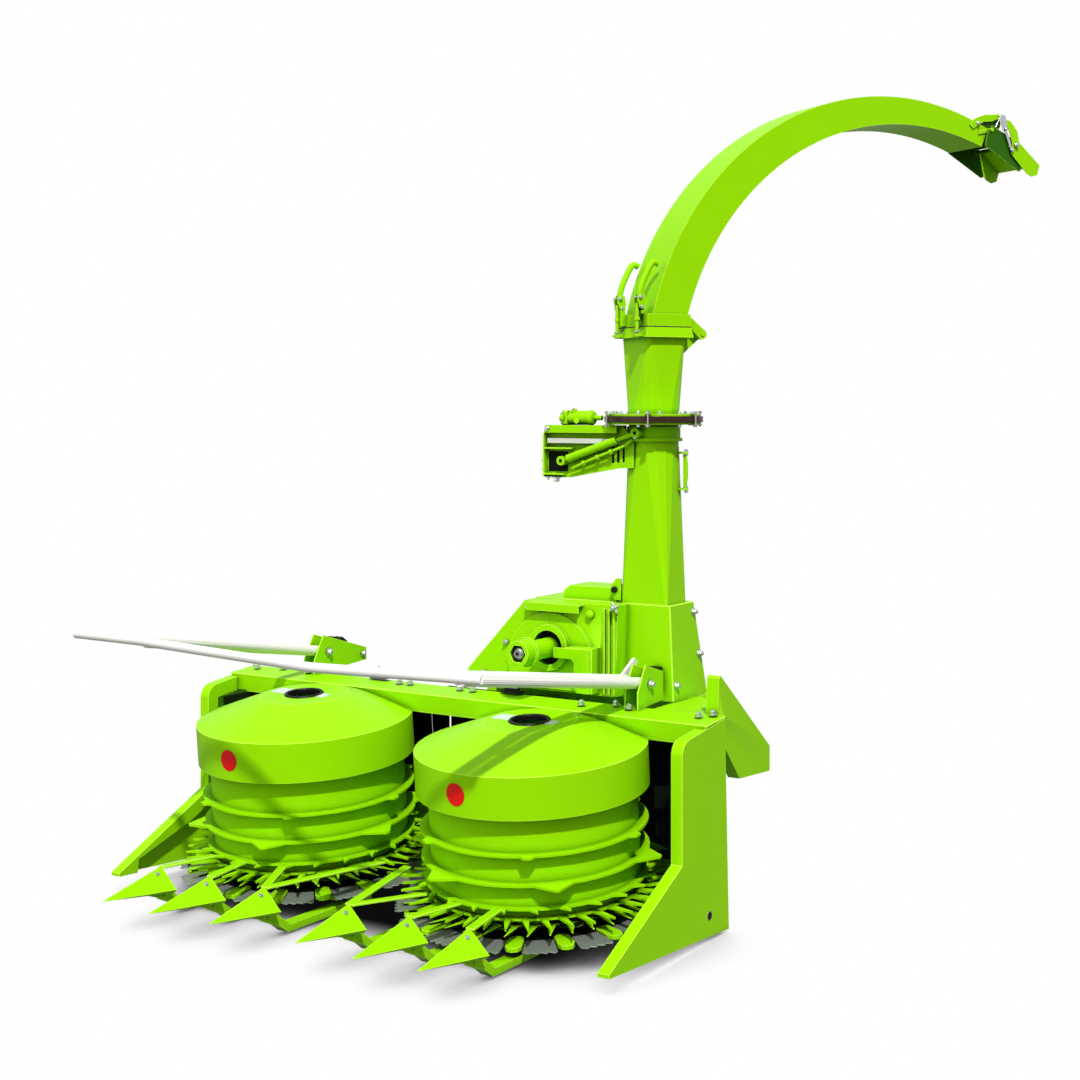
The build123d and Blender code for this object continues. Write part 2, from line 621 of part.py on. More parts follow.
# ---------------------------------------------------------------- input gearbox, hitch frame and parking stands
HITCH_Y = CASING_Y + CASING_DEPTH
LOWER_PIN_Z = 380.0
LOWER_SPAN = 825.0
LOWER_PIN_R = 14.25
LOWER_PIN_REACH = 75.0
MAST = 610.0
TOP_HOLE_R = 12.85
GEARBOX_DEPTH = 150.0
with BuildPart() as main_gearbox:
    with BuildSketch(front_plane(HITCH_Y + GEARBOX_DEPTH)):
        with Locations((15, PTO_Z)):
            RectangleRounded(210, 240, 40)
    extrude(amount=GEARBOX_DEPTH)
    with BuildSketch(front_plane(HITCH_Y + GEARBOX_DEPTH + 24)):
        with Locations((0, PTO_Z)):
            Circle(58)
    extrude(amount=30)
    with BuildSketch(front_plane(HITCH_Y + GEARBOX_DEPTH + 30)):
        with Locations((0, PTO_Z)):
            Circle(PTO_SEAT_R + FIT)
    extrude(amount=120, mode=Mode.SUBTRACT)
save(main_gearbox, "main_gearbox")

with BuildPart() as pto_shaft:
    with BuildSketch(front_plane(HITCH_Y + GEARBOX_DEPTH + 29 + PTO_STUB)):
        with Locations((0, PTO_Z)):
            Circle(PTO_R)
    extrude(amount=PTO_STUB)
    with BuildSketch(front_plane(HITCH_Y + GEARBOX_DEPTH + 29)):
        with Locations((0, PTO_Z)):
            Circle(PTO_SEAT_R)
    extrude(amount=105)
save(pto_shaft, "pto_shaft")

FRAME_TUBE = 80.0
STAND_X = 270.0
STAND_PIVOT = (HITCH_Y + FRAME_TUBE + 45, 420.0)
STAND_TUBE = 50.0
STAND_CLEAR = 5.0
LUG_T = 12.0
LUG_GAP = 56.0
with BuildPart() as hitch_frame:
    # lower cross tube, and legs rising to the mast head
    with BuildSketch(side_plane(-520)):
        with Locations((HITCH_Y + FRAME_TUBE / 2, LOWER_PIN_Z + 40)):
            Rectangle(FRAME_TUBE, FRAME_TUBE)
            Rectangle(FRAME_TUBE - 2 * SHEET, FRAME_TUBE - 2 * SHEET, mode=Mode.SUBTRACT)
    extrude(amount=1040)
    for side in (-1, 1):
        with BuildSketch(front_plane(HITCH_Y + FRAME_TUBE)):
            Polygon((side * 330, LOWER_PIN_Z + 70), (side * 250, LOWER_PIN_Z + 70), (side * 130, 800),
                    (side * 28, LOWER_PIN_Z + MAST - 60), (side * 28, LOWER_PIN_Z + MAST + 20), (side * 90, 990),
                    (side * 190, 830), align=None)
        extrude(amount=FRAME_TUBE)
        with BuildSketch(side_plane(side * LUG_GAP / 2)) as lug:
            Polygon((HITCH_Y, 900), (HITCH_Y + 130, 950), (HITCH_Y + 130, 1030), (HITCH_Y, 1030), align=None)
            with Locations((HITCH_Y + 104, LOWER_PIN_Z + MAST)):
                Circle(TOP_HOLE_R, mode=Mode.SUBTRACT)
        extrude(amount=side * LUG_T)
        # lower hitch pin on a cheek plate
        with BuildSketch(side_plane(side * (LOWER_SPAN / 2 - LUG_T))):
            Polygon((HITCH_Y, LOWER_PIN_Z - 60), (HITCH_Y + 200, LOWER_PIN_Z - 50), (HITCH_Y + 200, LOWER_PIN_Z + 50),
                    (HITCH_Y + 80, LOWER_PIN_Z + 130), (HITCH_Y, LOWER_PIN_Z + 130), align=None)
        extrude(amount=side * LUG_T)
        with BuildSketch(side_plane(side * (LOWER_SPAN / 2 - LUG_T))):
            with Locations((HITCH_Y + 150, LOWER_PIN_Z)):
                Circle(LOWER_PIN_R)
        extrude(amount=side * (LUG_T + LOWER_PIN_REACH))
        # lugs and pin of the parking stand
        for inner in (-1, 1):
            with BuildSketch(side_plane(side * STAND_X + inner * (STAND_TUBE / 2 + STAND_CLEAR))):
                Polygon((HITCH_Y + FRAME_TUBE, 380), (STAND_PIVOT[0] + 35, 390), (STAND_PIVOT[0] + 35, 455),
                        (HITCH_Y + FRAME_TUBE, 459), align=None)
            extrude(amount=inner * 10)
        with BuildSketch(side_plane(side * STAND_X - STAND_TUBE / 2 - STAND_CLEAR - 14)):
            with Locations(STAND_PIVOT):
                Circle(10)
        extrude(amount=STAND_TUBE + 2 * STAND_CLEAR + 28)
save(hitch_frame, "hitch_frame")

for side_name, side in SIDES:
    with BuildPart() as stand:
        with BuildSketch(Plane.XY):
            with Locations((side * STAND_X, STAND_PIVOT[0])):
                RectangleRounded(130, 110, 12)
        extrude(amount=10)
        with BuildSketch(Plane.XY.offset(10)):
            with Locations((side * STAND_X, STAND_PIVOT[0])):
                RectangleRounded(STAND_TUBE, STAND_TUBE, 5)
        extrude(amount=STAND_PIVOT[1] + 15)
        with BuildSketch(side_plane(side * STAND_X - 50)):
            with Locations(STAND_PIVOT):
                Circle(10 + FIT)
        extrude(amount=100, mode=Mode.SUBTRACT)
    save(stand, f"parking_stand_{side_name}")

# ---------------------------------------------------------------- centre skid
with BuildPart() as centre_skid:
    near = head_point(0, TUBE_V, 0)
    far = head_point(0, TUBE_V + TUBE_DEPTH, 0)
    with BuildSketch(side_plane(-60)):
        Polygon((-75, 26), (-45, 0), (325, 0), (far.Y, far.Z), (near.Y, near.Z), (near.Y - 14, 12), (-40, 12),
                (-66, 32), align=None)
    extrude(amount=120)
save(centre_skid, "centre_skid")

# ---------------------------------------------------------------- tower
with BuildPart() as tower_base:
    for height, rectangle in ((SHOULDER_Z, BASE_LOW), (BASE_TOP_Z - BASE_FLANGE, BASE_HIGH)):
        centre_x, centre_y, size_x, size_y = rectangle
        with BuildSketch(Plane.XY.offset(height)):
            with Locations((centre_x, centre_y)):
                Rectangle(size_x, size_y)
    loft()
    with BuildSketch(Plane.XY.offset(BASE_TOP_Z - BASE_FLANGE)):
        with Locations((BASE_HIGH[0], BASE_HIGH[1])):
            Rectangle(BASE_HIGH[2], BASE_HIGH[3])
    extrude(amount=BASE_FLANGE)
save(tower_base, "tower_base")

DUCT_BEND = 10.0        # a duct's corner radius where it is square
tower_axes = Plane(origin=(TOWER[0], TOWER[1], 0), x_dir=(1, 0, 0), z_dir=(0, 0, 1))
with BuildPart() as tower_tube:
    for wall, mode in ((0, Mode.ADD), (DUCT_WALL, Mode.SUBTRACT)):
        with BuildSketch(tower_axes.offset(BASE_TOP_Z)):
            Polygon(*duct_corners(TUBE_SIZE[0], TUBE_SIZE[1], DUCT_BEND, wall), align=None)
        with BuildSketch(tower_axes.offset(COLLAR_Z)):
            Polygon(*duct_corners(2 * TUBE_TOP_R, 2 * TUBE_TOP_R, TUBE_TOP_R, wall), align=None)
        loft(mode=mode, ruled=True)
    with BuildSketch(Plane.XY.offset(COLLAR_Z)):
        with Locations(TOWER):
            Circle(TUBE_TOP_R)
            Circle(TUBE_TOP_R - DUCT_WALL, mode=Mode.SUBTRACT)
    extrude(amount=FLANGE_Z - COLLAR_Z)
    with BuildSketch(Plane.XY.offset(FLANGE_Z)):
        with Locations(TOWER):
            Circle(FLANGE_R)
            Circle(TUBE_TOP_R - DUCT_WALL, mode=Mode.SUBTRACT)
    extrude(amount=FLANGE_T)
save(tower_tube, "tower_tube")

with BuildPart() as wear_ring:
    with BuildSketch(Plane.XY.offset(FLANGE_Z + FLANGE_T)):
        with Locations(TOWER):
            Circle(WEAR_R)
            Circle(TUBE_TOP_R + 10, mode=Mode.SUBTRACT)
    extrude(amount=WEAR_T)
save(wear_ring, "wear_ring")

# ---------------------------------------------------------------- turning drive
BRACKET_Y = 463.0        # rear face of the bracket's plate
BRACKET_T = 8.0
BRACKET_X = 297.0        # its free end
CHANNEL_Z = FLANGE_Z - 4.0
BAND_R = TUBE_TOP_R + 7.0
BAND_Z = FLANGE_Z - 65.0
with BuildPart() as turning_bracket:
    for start_z, height, radius in ((BAND_Z, 12.0, BAND_R + 8.0), (BAND_Z, FLANGE_Z - 8 - BAND_Z, BAND_R)):
        with BuildSketch(Plane.XY.offset(start_z)):
            with Locations(TOWER):
                Circle(radius)
                Circle(TUBE_TOP_R + SEAT, mode=Mode.SUBTRACT)
        extrude(amount=height)
    # top channel, open below
    with BuildSketch(side_plane(BRACKET_X)):
        Polygon((430, CHANNEL_Z - 30), (430, CHANNEL_Z), (510, CHANNEL_Z), (510, CHANNEL_Z - 30),
                (504, CHANNEL_Z - 30), (504, CHANNEL_Z - 6), (436, CHANNEL_Z - 6), (436, CHANNEL_Z - 30), align=None)
    extrude(amount=TOWER[0] - BAND_R + 12 - BRACKET_X)
    # tapered plate, slotted near the tower
    with BuildSketch(front_plane(BRACKET_Y)):
        Polygon((BRACKET_X, CHANNEL_Z), (BRACKET_X, FLANGE_Z - 209), (397, FLANGE_Z - 211), (622, FLANGE_Z - 171),
                (690, FLANGE_Z - 168), (690, CHANNEL_Z - 50), (640, CHANNEL_Z), align=None)
        with Locations((598, FLANGE_Z - 118), (622, FLANGE_Z - 116), (646, FLANGE_Z - 114)):
            Rectangle(11, 66, mode=Mode.SUBTRACT)
    extrude(amount=BRACKET_T)
    # lips across the plate and the end plate
    for lip_z, lip_end in ((FLANGE_Z - 95, 425.0), (FLANGE_Z - 197, 385.0)):
        with BuildSketch(side_plane(BRACKET_X)):
            with Locations((BRACKET_Y - BRACKET_T - 14, lip_z)):
                Rectangle(28, 6)
        extrude(amount=lip_end - BRACKET_X)
    with BuildSketch(side_plane(BRACKET_X - 6)):
        Polygon((BRACKET_Y - 36, FLANGE_Z - 209), (BRACKET_Y - 36, CHANNEL_Z - 36), (BRACKET_Y, CHANNEL_Z - 4),
                (BRACKET_Y, FLANGE_Z - 209), align=None)
    extrude(amount=6)
save(turning_bracket, "turning_bracket")

MOTOR = (470.0, FLANGE_Z + 25.0)
LINK_Y = 432.0
with BuildPart() as turning_drive:
    for start_x, end_x, radius in ((396, 492, 28.0), (492, 540, 10.0)):
        with BuildSketch(side_plane(start_x)):
            with Locations(MOTOR):
                Circle(radius)
        extrude(amount=end_x - start_x)
    with BuildSketch(side_plane(380)):
        with Locations(MOTOR):
            RectangleRounded(64, 57, 8)
    extrude(amount=18)
    # cylinder between the plate's free end and the band
    start = Vector(380, LINK_Y, FLANGE_Z - 144)
    end = Vector(716, LINK_Y, FLANGE_Z - 32)
    run = end - start
    with BuildSketch(Plane(origin=start + run * 0.08, z_dir=run)):
        Circle(16)
    extrude(amount=run.length * 0.66)
    with BuildSketch(Plane(origin=start, z_dir=run)):
        Circle(8)
    extrude(amount=run.length)
    for eye, rear in ((start, BRACKET_Y - BRACKET_T - SEAT), (end, TOWER[1] - BAND_R - SEAT - 1)):
        with BuildSketch(front_plane(rear)):
            with Locations((eye.X, eye.Z)):
                Circle(18)
        extrude(amount=rear - LINK_Y + 14)
save(turning_drive, "turning_drive")

# ---------------------------------------------------------------- turret: upper flange and the round-to-square tube
TURRET_Z = FLANGE_Z + FLANGE_T + WEAR_T + SEAT
COLLAR_T = 22.0         # of the turret's collar above the duct
COLLAR_DROP = 20.0      # and below its top
COLLAR_REACH = 13.0     # that a collar stands out from its duct
FOLD = (165.0, UPPER_TOP_Z - 5.0)       # out from the axis, z
FOLD_R = 20.0
PIN_R = 8.0
FOLD_LUG = (48.0, 60.0)         # distances of a lug's faces from the middle
FOLD_ARM = (66.0, 92.0)         # and of an arm's
turret_axes = Plane(origin=(TOWER[0], TOWER[1], 0), x_dir=SPOUT_D, z_dir=(0, 0, 1))
with BuildPart() as turret:
    with BuildSketch(Plane.XY.offset(TURRET_Z)):
        with Locations(TOWER):
            Circle(FLANGE_R - 3)
            Circle(TUBE_TOP_R - DUCT_WALL, mode=Mode.SUBTRACT)
    extrude(amount=FLANGE_T)
    # collar, flared downwards
    for height, reach in ((UPPER_TOP_Z - COLLAR_DROP, COLLAR_REACH + 9), (UPPER_TOP_Z + COLLAR_T, COLLAR_REACH)):
        with BuildSketch(turret_axes.offset(height)):
            Rectangle(DUCT_DEPTH + 2 * reach, DUCT_WIDTH + 2 * reach)
    loft()
    for side in (1, -1):
        with BuildSketch(spout_plane(side * FOLD_LUG[0])):
            Polygon((DUCT_DEPTH / 2 - 2, UPPER_TOP_Z), (FOLD[0], FOLD[1] + FOLD_R), (FOLD[0], FOLD[1] - FOLD_R),
                    (DUCT_DEPTH / 2 - 2, UPPER_TOP_Z - 95), align=None)
            with Locations(FOLD):
                Circle(FOLD_R)
        extrude(amount=-side * (FOLD_LUG[1] - FOLD_LUG[0]))
    with BuildSketch(spout_plane(FOLD_ARM[1] + 4)):
        with Locations(FOLD):
            Circle(PIN_R)
    extrude(amount=2 * FOLD_ARM[1] + 8)
    for wall, mode in ((0, Mode.ADD), (DUCT_WALL, Mode.SUBTRACT)):
        with BuildSketch(turret_axes.offset(TURRET_Z + FLANGE_T)):
            Polygon(*duct_corners(2 * TUBE_TOP_R, 2 * TUBE_TOP_R, TUBE_TOP_R, wall), align=None)
        with BuildSketch(turret_axes.offset(UPPER_TOP_Z)):
            Polygon(*duct_corners(DUCT_DEPTH, DUCT_WIDTH, DUCT_BEND, wall), align=None)
        loft(mode=mode, ruled=True)
    with BuildSketch(turret_axes.offset(UPPER_TOP_Z - 1)):
        Rectangle(DUCT_DEPTH - 2 * DUCT_WALL, DUCT_WIDTH - 2 * DUCT_WALL)
    extrude(amount=COLLAR_T + 2, mode=Mode.SUBTRACT)
save(turret, "turret")

# ---------------------------------------------------------------- spout arch
def arc_z(arc, out, grow=0.0):
    """Height of an arch's arc at a distance out from the tower axis."""
    return arc[1] + sqrt((arc[2] + grow) ** 2 - (out - arc[0]) ** 2)


def arc_out(arc, height, grow=0.0):
    """Distance out from the tower axis of the rising side of an arc."""
    return arc[0] - sqrt((arc[2] + grow) ** 2 - (height - arc[1]) ** 2)


ARCH_START_Z = UPPER_TOP_Z + COLLAR_T + SEAT
ARCH_COLLAR = 48.0
# corners of the hooked lug: out from the tower axis, height above the tube's top
HOOK = ((1483, 905), (1513, 934), (1567, 952), (1652, 960), (1660, 948), (1600, 926), (1558, 922), (1532, 908),
        (1502, 888))
HOOK_T = 6.0
FLAP_PIVOT = (1592.0, UPPER_TOP_Z + 889.0)
FLAP_TURN = 11.0        # boss round a flap's pin
with BuildPart() as spout_arch:
    with BuildSketch(turret_axes.offset(ARCH_START_Z)):
        Rectangle(DUCT_DEPTH + 2 * COLLAR_REACH, DUCT_WIDTH + 2 * COLLAR_REACH)
    extrude(amount=ARCH_COLLAR)
    for inset, past, mode in ((0.0, 0.0, Mode.ADD), (DUCT_WALL, 40.0, Mode.SUBTRACT)):
        low_out = Vector(arc_out(ARCH_OUT, ARCH_START_Z - past, -inset), ARCH_START_Z - past)
        low_in = Vector(arc_out(ARCH_IN, ARCH_START_Z - past, inset), ARCH_START_Z - past)
        mid_out = Vector(300, arc_z(ARCH_OUT, 300, -inset))
        mid_in = Vector(500, arc_z(ARCH_IN, 500, inset))
        end_out = Vector(ARCH_END_OUT + past, arc_z(ARCH_OUT, ARCH_END_OUT + past, -inset))
        end_in = Vector(ARCH_END_IN + past, arc_z(ARCH_IN, ARCH_END_IN + past, inset))
        with BuildSketch(spout_plane(DUCT_WIDTH / 2 - inset)):
            with BuildLine():
                ThreePointArc(low_out, mid_out, end_out)
                Line(end_out, end_in)
                ThreePointArc(end_in, mid_in, low_in)
                Line(low_in, low_out)
            make_face()
        extrude(amount=DUCT_WIDTH - 2 * inset, mode=mode)
    # arms down to the fold's pin, outside the turret's lugs
    for side in (1, -1):
        with BuildSketch(spout_plane(side * FOLD_ARM[0])):
            Polygon((DUCT_DEPTH / 2 - 2, ARCH_START_Z + 2), (DUCT_DEPTH / 2 - 2, ARCH_START_Z + ARCH_COLLAR - 2),
                    (DUCT_DEPTH / 2 + 20, ARCH_START_Z + ARCH_COLLAR - 2), (FOLD[0] + 16, FOLD[1] + 12),
                    (FOLD[0] - 16, FOLD[1] - 12), (DUCT_DEPTH / 2 + 22, ARCH_START_Z + 2), align=None)
            with Locations(FOLD):
                Circle(FOLD_R)
            with Locations(FOLD):
                Circle(PIN_R + FIT, mode=Mode.SUBTRACT)
        extrude(amount=-side * (FOLD_ARM[1] - FOLD_ARM[0]))
    # hooked lugs beside the end, and the flap's pins
    for side in (1, -1):
        with BuildSketch(spout_plane(side * DUCT_WIDTH / 2)):
            Polygon(*[(out, UPPER_TOP_Z + above) for out, above in HOOK], align=None)
        extrude(amount=-side * HOOK_T)
        with BuildSketch(spout_plane(side * DUCT_WIDTH / 2)):
            with Locations(FLAP_PIVOT):
                Circle(PIN_R)
            Polygon((FLAP_PIVOT[0] - 60, FLAP_PIVOT[1] - 22), (FLAP_PIVOT[0] - 60, FLAP_PIVOT[1] - 6),
                    (FLAP_PIVOT[0], FLAP_PIVOT[1] + PIN_R), (FLAP_PIVOT[0], FLAP_PIVOT[1] - PIN_R), align=None)
        extrude(amount=-side * HOOK_T)
        with BuildSketch(spout_plane(side * DUCT_WIDTH / 2)):
            with Locations(FLAP_PIVOT):
                Circle(PIN_R)
        extrude(amount=-side * (HOOK_T + 16))
save(spout_arch, "spout_arch")

with BuildPart() as spout_clamps:
    reach = DUCT_DEPTH / 2 + COLLAR_REACH
    for along in (-60, 60):
        with BuildSketch(spout_plane(along + 12)):
            Polygon((-reach - 22, ARCH_START_Z + 4), (-reach, ARCH_START_Z + 4), (-reach, ARCH_START_Z + 44),
                    (-reach - 8, ARCH_START_Z + 78), (-reach - 22, ARCH_START_Z + 78), align=None)
        extrude(amount=24)
save(spout_clamps, "spout_clamps")

# ---------------------------------------------------------------- end flaps
FLAP_MID = (1718.0, UPPER_TOP_Z + 830.0)
CHEEK_T = 4.0
CHEEK_IN = DUCT_WIDTH / 2 + HOOK_T + 5.3
FLAP_GAP = 5.0          # between the two flaps' cheeks
# corners of the cheeks: out from the tower axis, height above the tube's top
INNER_CHEEK = ((1562, 835), (1575, 885), (1600, 907), (1730, 847), (1742, 785), (1755, 725), (1742, 720),
               (1560, 817))
OUTER_CHEEK = ((1672, 935), (1690, 930), (1728, 890), (1738, 843), (1852, 752), (1838, 710), (1808, 701),
               (1781, 713), (1694, 791), (1700, 835), (1685, 885), (1668, 915))
with BuildPart() as flap_inner:
    for side in (1, -1):
        with BuildSketch(spout_plane(side * CHEEK_IN)):
            Polygon(*[(out, UPPER_TOP_Z + above) for out, above in INNER_CHEEK], align=None)
            with Locations(FLAP_PIVOT):
                Circle(PIN_R + FIT, mode=Mode.SUBTRACT)
        extrude(amount=-side * CHEEK_T)
    with BuildSketch(spout_plane(CHEEK_IN)):
        Polygon((1610, UPPER_TOP_Z + 902), (1730, UPPER_TOP_Z + 847), (1729, UPPER_TOP_Z + 843),
                (1609, UPPER_TOP_Z + 898), align=None)
    extrude(amount=2 * CHEEK_IN)
    with BuildSketch(spout_plane(CHEEK_IN + CHEEK_T + FLAP_GAP + 8)):
        with Locations(FLAP_MID):
            Circle(PIN_R)
    extrude(amount=2 * (CHEEK_IN + CHEEK_T + FLAP_GAP + 8))
save(flap_inner, "flap_inner")

OUTER_IN = CHEEK_IN + CHEEK_T + FLAP_GAP
with BuildPart() as flap_outer:
    for side in (1, -1):
        with BuildSketch(spout_plane(side * OUTER_IN)):
            Polygon(*[(out, UPPER_TOP_Z + above) for out, above in OUTER_CHEEK], align=None)
            with Locations(FLAP_MID):
                Circle(PIN_R + FIT, mode=Mode.SUBTRACT)
        extrude(amount=-side * CHEEK_T)
    with BuildSketch(spout_plane(OUTER_IN)):
        Polygon((1746, UPPER_TOP_Z + 837), (1852, UPPER_TOP_Z + 752), (1849, UPPER_TOP_Z + 748),
                (1743, UPPER_TOP_Z + 833), align=None)
    extrude(amount=2 * OUTER_IN)
save(flap_outer, "flap_outer")

# ---------------------------------------------------------------- push bar and its brackets
ARM_X = 785.0
ARM_R = 22.5
BAR_R = 17.5
BAR_HEIGHT = 1030.0
SLEEVE_GAP = 62.0        # from the right arm to the sleeve beside it
PUSH_PIVOT = (360.0, 874.0)
CROSS_BAR = ((-1190, -643), (-840, -655), (150, -815), (800, -718))
ARM_FRONT = {-1: -664.0, 1: -722.0}
with BuildPart() as push_bar:
    for side in (-1, 1):
        start = Vector(side * ARM_X, PUSH_PIVOT[0] + 34, PUSH_PIVOT[1] - 5)
        end = Vector(side * ARM_X, ARM_FRONT[side], BAR_HEIGHT)
        with BuildSketch(Plane(origin=start, z_dir=end - start)):
            Circle(ARM_R)
        extrude(amount=(end - start).length)
    with BuildLine() as route:
        FilletPolyline(*[(x, y, BAR_HEIGHT) for x, y in CROSS_BAR], radius=300)
    with BuildSketch(Plane(origin=(CROSS_BAR[0][0], CROSS_BAR[0][1], BAR_HEIGHT), z_dir=route.line % 0)):
        Circle(BAR_R)
    sweep()
    # sleeve beside the right arm, with its lever
    start = Vector(ARM_X - SLEEVE_GAP, 330, PUSH_PIVOT[1] + 5)
    end = Vector(ARM_X - SLEEVE_GAP, ARM_FRONT[1] - 12, BAR_HEIGHT)
    with BuildSketch(Plane(origin=start, z_dir=end - start)):
        Circle(27)
    extrude(amount=(end - start).length)
    with BuildSketch(side_plane(ARM_X - SLEEVE_GAP - 6)):
        Polygon((310, 858), (300, 905), (400, 960), (420, 945), (345, 862), align=None)
    extrude(amount=12)
    for tie_y in (-500, -150, 180):
        tie_z = BAR_HEIGHT + (PUSH_PIVOT[1] - BAR_HEIGHT) * (tie_y - ARM_FRONT[1]) / (330 - ARM_FRONT[1])
        with BuildSketch(side_plane(ARM_X - SLEEVE_GAP)):
            with Locations((tie_y, tie_z)):
                Rectangle(40, 12)
        extrude(amount=SLEEVE_GAP)
    with BuildSketch(side_plane(-1000)):
        with Locations(PUSH_PIVOT):
            Circle(8 + FIT)
    extrude(amount=2000, mode=Mode.SUBTRACT)
save(push_bar, "push_bar")

PLATE_GAP = 24.0
top_front = head_point(0, BEAM_V, BEAM_S + BEAM_HEIGHT)
top_rear = head_point(0, BEAM_V + BEAM_DEPTH, BEAM_S + BEAM_HEIGHT)
slope = (top_rear.Z - top_front.Z) / (top_rear.Y - top_front.Y)
with BuildPart() as push_brackets:
    for side, plate_end in ((-1, 620.0), (1, 468.0)):
        for inner in (-1, 1):
            foot = 272.0
            with BuildSketch(side_plane(side * ARM_X + inner * PLATE_GAP)):
                Polygon((foot, top_front.Z + slope * (foot - top_front.Y)), (top_rear.Y, top_rear.Z),
                        (plate_end, 811 if side < 0 else 800), (plate_end, 864 if side < 0 else 908), (330, 948),
                        (foot, 850), align=None)
            extrude(amount=inner * 6)
        with BuildSketch(side_plane(side * ARM_X - PLATE_GAP - 10)):
            with Locations(PUSH_PIVOT):
                Circle(8)
        extrude(amount=2 * PLATE_GAP + 20)
save(push_brackets, "push_brackets")

# ---------------------------------------------------------------- arm behind the right end of the beam
rear_low = head_point(0, BEAM_V + BEAM_DEPTH, BEAM_S)
rear_high = head_point(0, BEAM_V + BEAM_DEPTH, BEAM_S + BEAM_HEIGHT)
REAR_ARM = ((rear_high.Y, rear_high.Z), (336, 925), (350, 932), (762, 609), (762, 512), (505, 527),
            (rear_low.Y, rear_low.Z))
GUSSET_Z = SHOULDER_Z
GUSSET_X = BASE_LOW[0] + BASE_LOW[2] / 2 + SEAT
with BuildPart() as rear_arm:
    with BuildSketch(side_plane(1070)):
        Polygon(*REAR_ARM, align=None)
    extrude(amount=50)
    with BuildSketch(side_plane(1069)):
        Polygon(*REAR_ARM, align=None)
        offset(amount=-8, mode=Mode.REPLACE)
    extrude(amount=43, mode=Mode.SUBTRACT)
    # top gusset between the beam's end and the tower
    with BuildSketch(Plane.XY.offset(GUSSET_Z)):
        Polygon((GUSSET_X, rear_high.Y + 0.6), (GUSSET_X, 690), (HALF_WIDTH, rear_high.Y + 0.6), align=None)
    extrude(amount=-SHEET)
save(rear_arm, "rear_arm")
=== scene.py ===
import json
from math import cos, pi, radians, sin

import bmesh
import bpy
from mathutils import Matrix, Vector


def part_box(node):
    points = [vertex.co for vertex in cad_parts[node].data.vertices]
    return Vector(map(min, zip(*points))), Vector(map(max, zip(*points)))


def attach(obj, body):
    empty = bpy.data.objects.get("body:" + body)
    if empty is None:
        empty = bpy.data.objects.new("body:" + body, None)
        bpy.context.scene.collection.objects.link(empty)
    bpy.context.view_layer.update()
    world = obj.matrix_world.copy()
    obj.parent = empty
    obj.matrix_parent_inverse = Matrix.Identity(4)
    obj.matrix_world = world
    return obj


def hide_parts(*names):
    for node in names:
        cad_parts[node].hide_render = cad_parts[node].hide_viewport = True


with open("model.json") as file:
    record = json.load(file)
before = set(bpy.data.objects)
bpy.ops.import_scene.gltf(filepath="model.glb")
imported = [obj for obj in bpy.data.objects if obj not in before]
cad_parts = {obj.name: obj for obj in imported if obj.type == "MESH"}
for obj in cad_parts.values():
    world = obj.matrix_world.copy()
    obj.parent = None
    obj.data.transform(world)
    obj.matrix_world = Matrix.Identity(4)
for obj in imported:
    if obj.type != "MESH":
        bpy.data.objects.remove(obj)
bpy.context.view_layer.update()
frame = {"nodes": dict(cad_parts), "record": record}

scene = bpy.context.scene

# ---------------------------------------- camera
# A long lens at eye height off the machine's right front corner, held level so that uprights stay
# upright, with the horizon shifted up.
camera_data = bpy.data.cameras.new("view_camera")
camera_data.sensor_width = 36
camera_data.lens = 58.0
camera_data.shift_y = -0.125
camera = bpy.data.objects.new("view_camera", camera_data)
camera.location = (4.0485, -5.3562, 1.925)
camera.rotation_euler = (radians(90), 0, radians(33.1))
scene.collection.objects.link(camera)
scene.camera = camera
scene.view_settings.view_transform = "Standard"
scene.view_settings.look = "None"


# ---------------------------------------- light
# A hard sun high at the machine's right front, a weak and very broad one at its left front, and a
# sky that lights from above. The eye sees the sky as plain white, and bright metal half so.
def add_node(tree, kind, inputs=None, **settings):
    """Adds a shader node. Each input is given a plain value or the socket that feeds it."""
    made = tree.nodes.new("ShaderNode" + kind)
    for setting, value in settings.items():
        setattr(made, setting, value)
    for entry, value in (inputs or {}).items():
        if isinstance(value, bpy.types.NodeSocket):
            tree.links.new(value, made.inputs[entry])
        else:
            made.inputs[entry].default_value = value
    return made


def combine(tree, operation, sockets):
    """Joins sockets two by two with one operation."""
    total = sockets[0]
    for socket in sockets[1:]:
        total = add_node(tree, "Math", {0: total, 1: socket}, operation=operation).outputs[0]
    return total


def grey_ramp(tree, amount, dark, light):
    """A ramp between two greys, each given by where it starts and how bright it is."""
    ramp = add_node(tree, "ValToRGB", {0: amount})
    for stop, (position, grey) in zip(ramp.color_ramp.elements, (dark, light)):
        stop.position = position
        stop.color = (grey, grey, grey, 1)
    return ramp.outputs[0]


SKY_LIGHT = 0.50
SKY_IN_METAL = 0.5
world = bpy.data.worlds.new("studio")
scene.world = world
world.use_nodes = True
sky = world.node_tree
sky.nodes.clear()
direction = add_node(sky, "TexCoord")
upward = add_node(sky, "SeparateXYZ", {0: direction.outputs["Generated"]})
height = add_node(sky, "Math", {0: upward.outputs["Z"], 1: 0.5, 2: 0.5}, operation="MULTIPLY_ADD")
sky_grey = grey_ramp(sky, height.outputs[0], (0.35, 0.10), (0.75, 1.0))
rays = add_node(sky, "LightPath")
in_metal = add_node(sky, "Math", {0: rays.outputs["Is Glossy Ray"], 1: SKY_IN_METAL},
                    operation="MULTIPLY")
whiteness = combine(sky, "MAXIMUM", [rays.outputs["Is Camera Ray"],
                                     rays.outputs["Is Transmission Ray"], in_metal.outputs[0]])
lighting = add_node(sky, "Background", {0: sky_grey, 1: SKY_LIGHT})
seen = add_node(sky, "Background", {0: (1, 1, 1, 1), 1: 1.0})
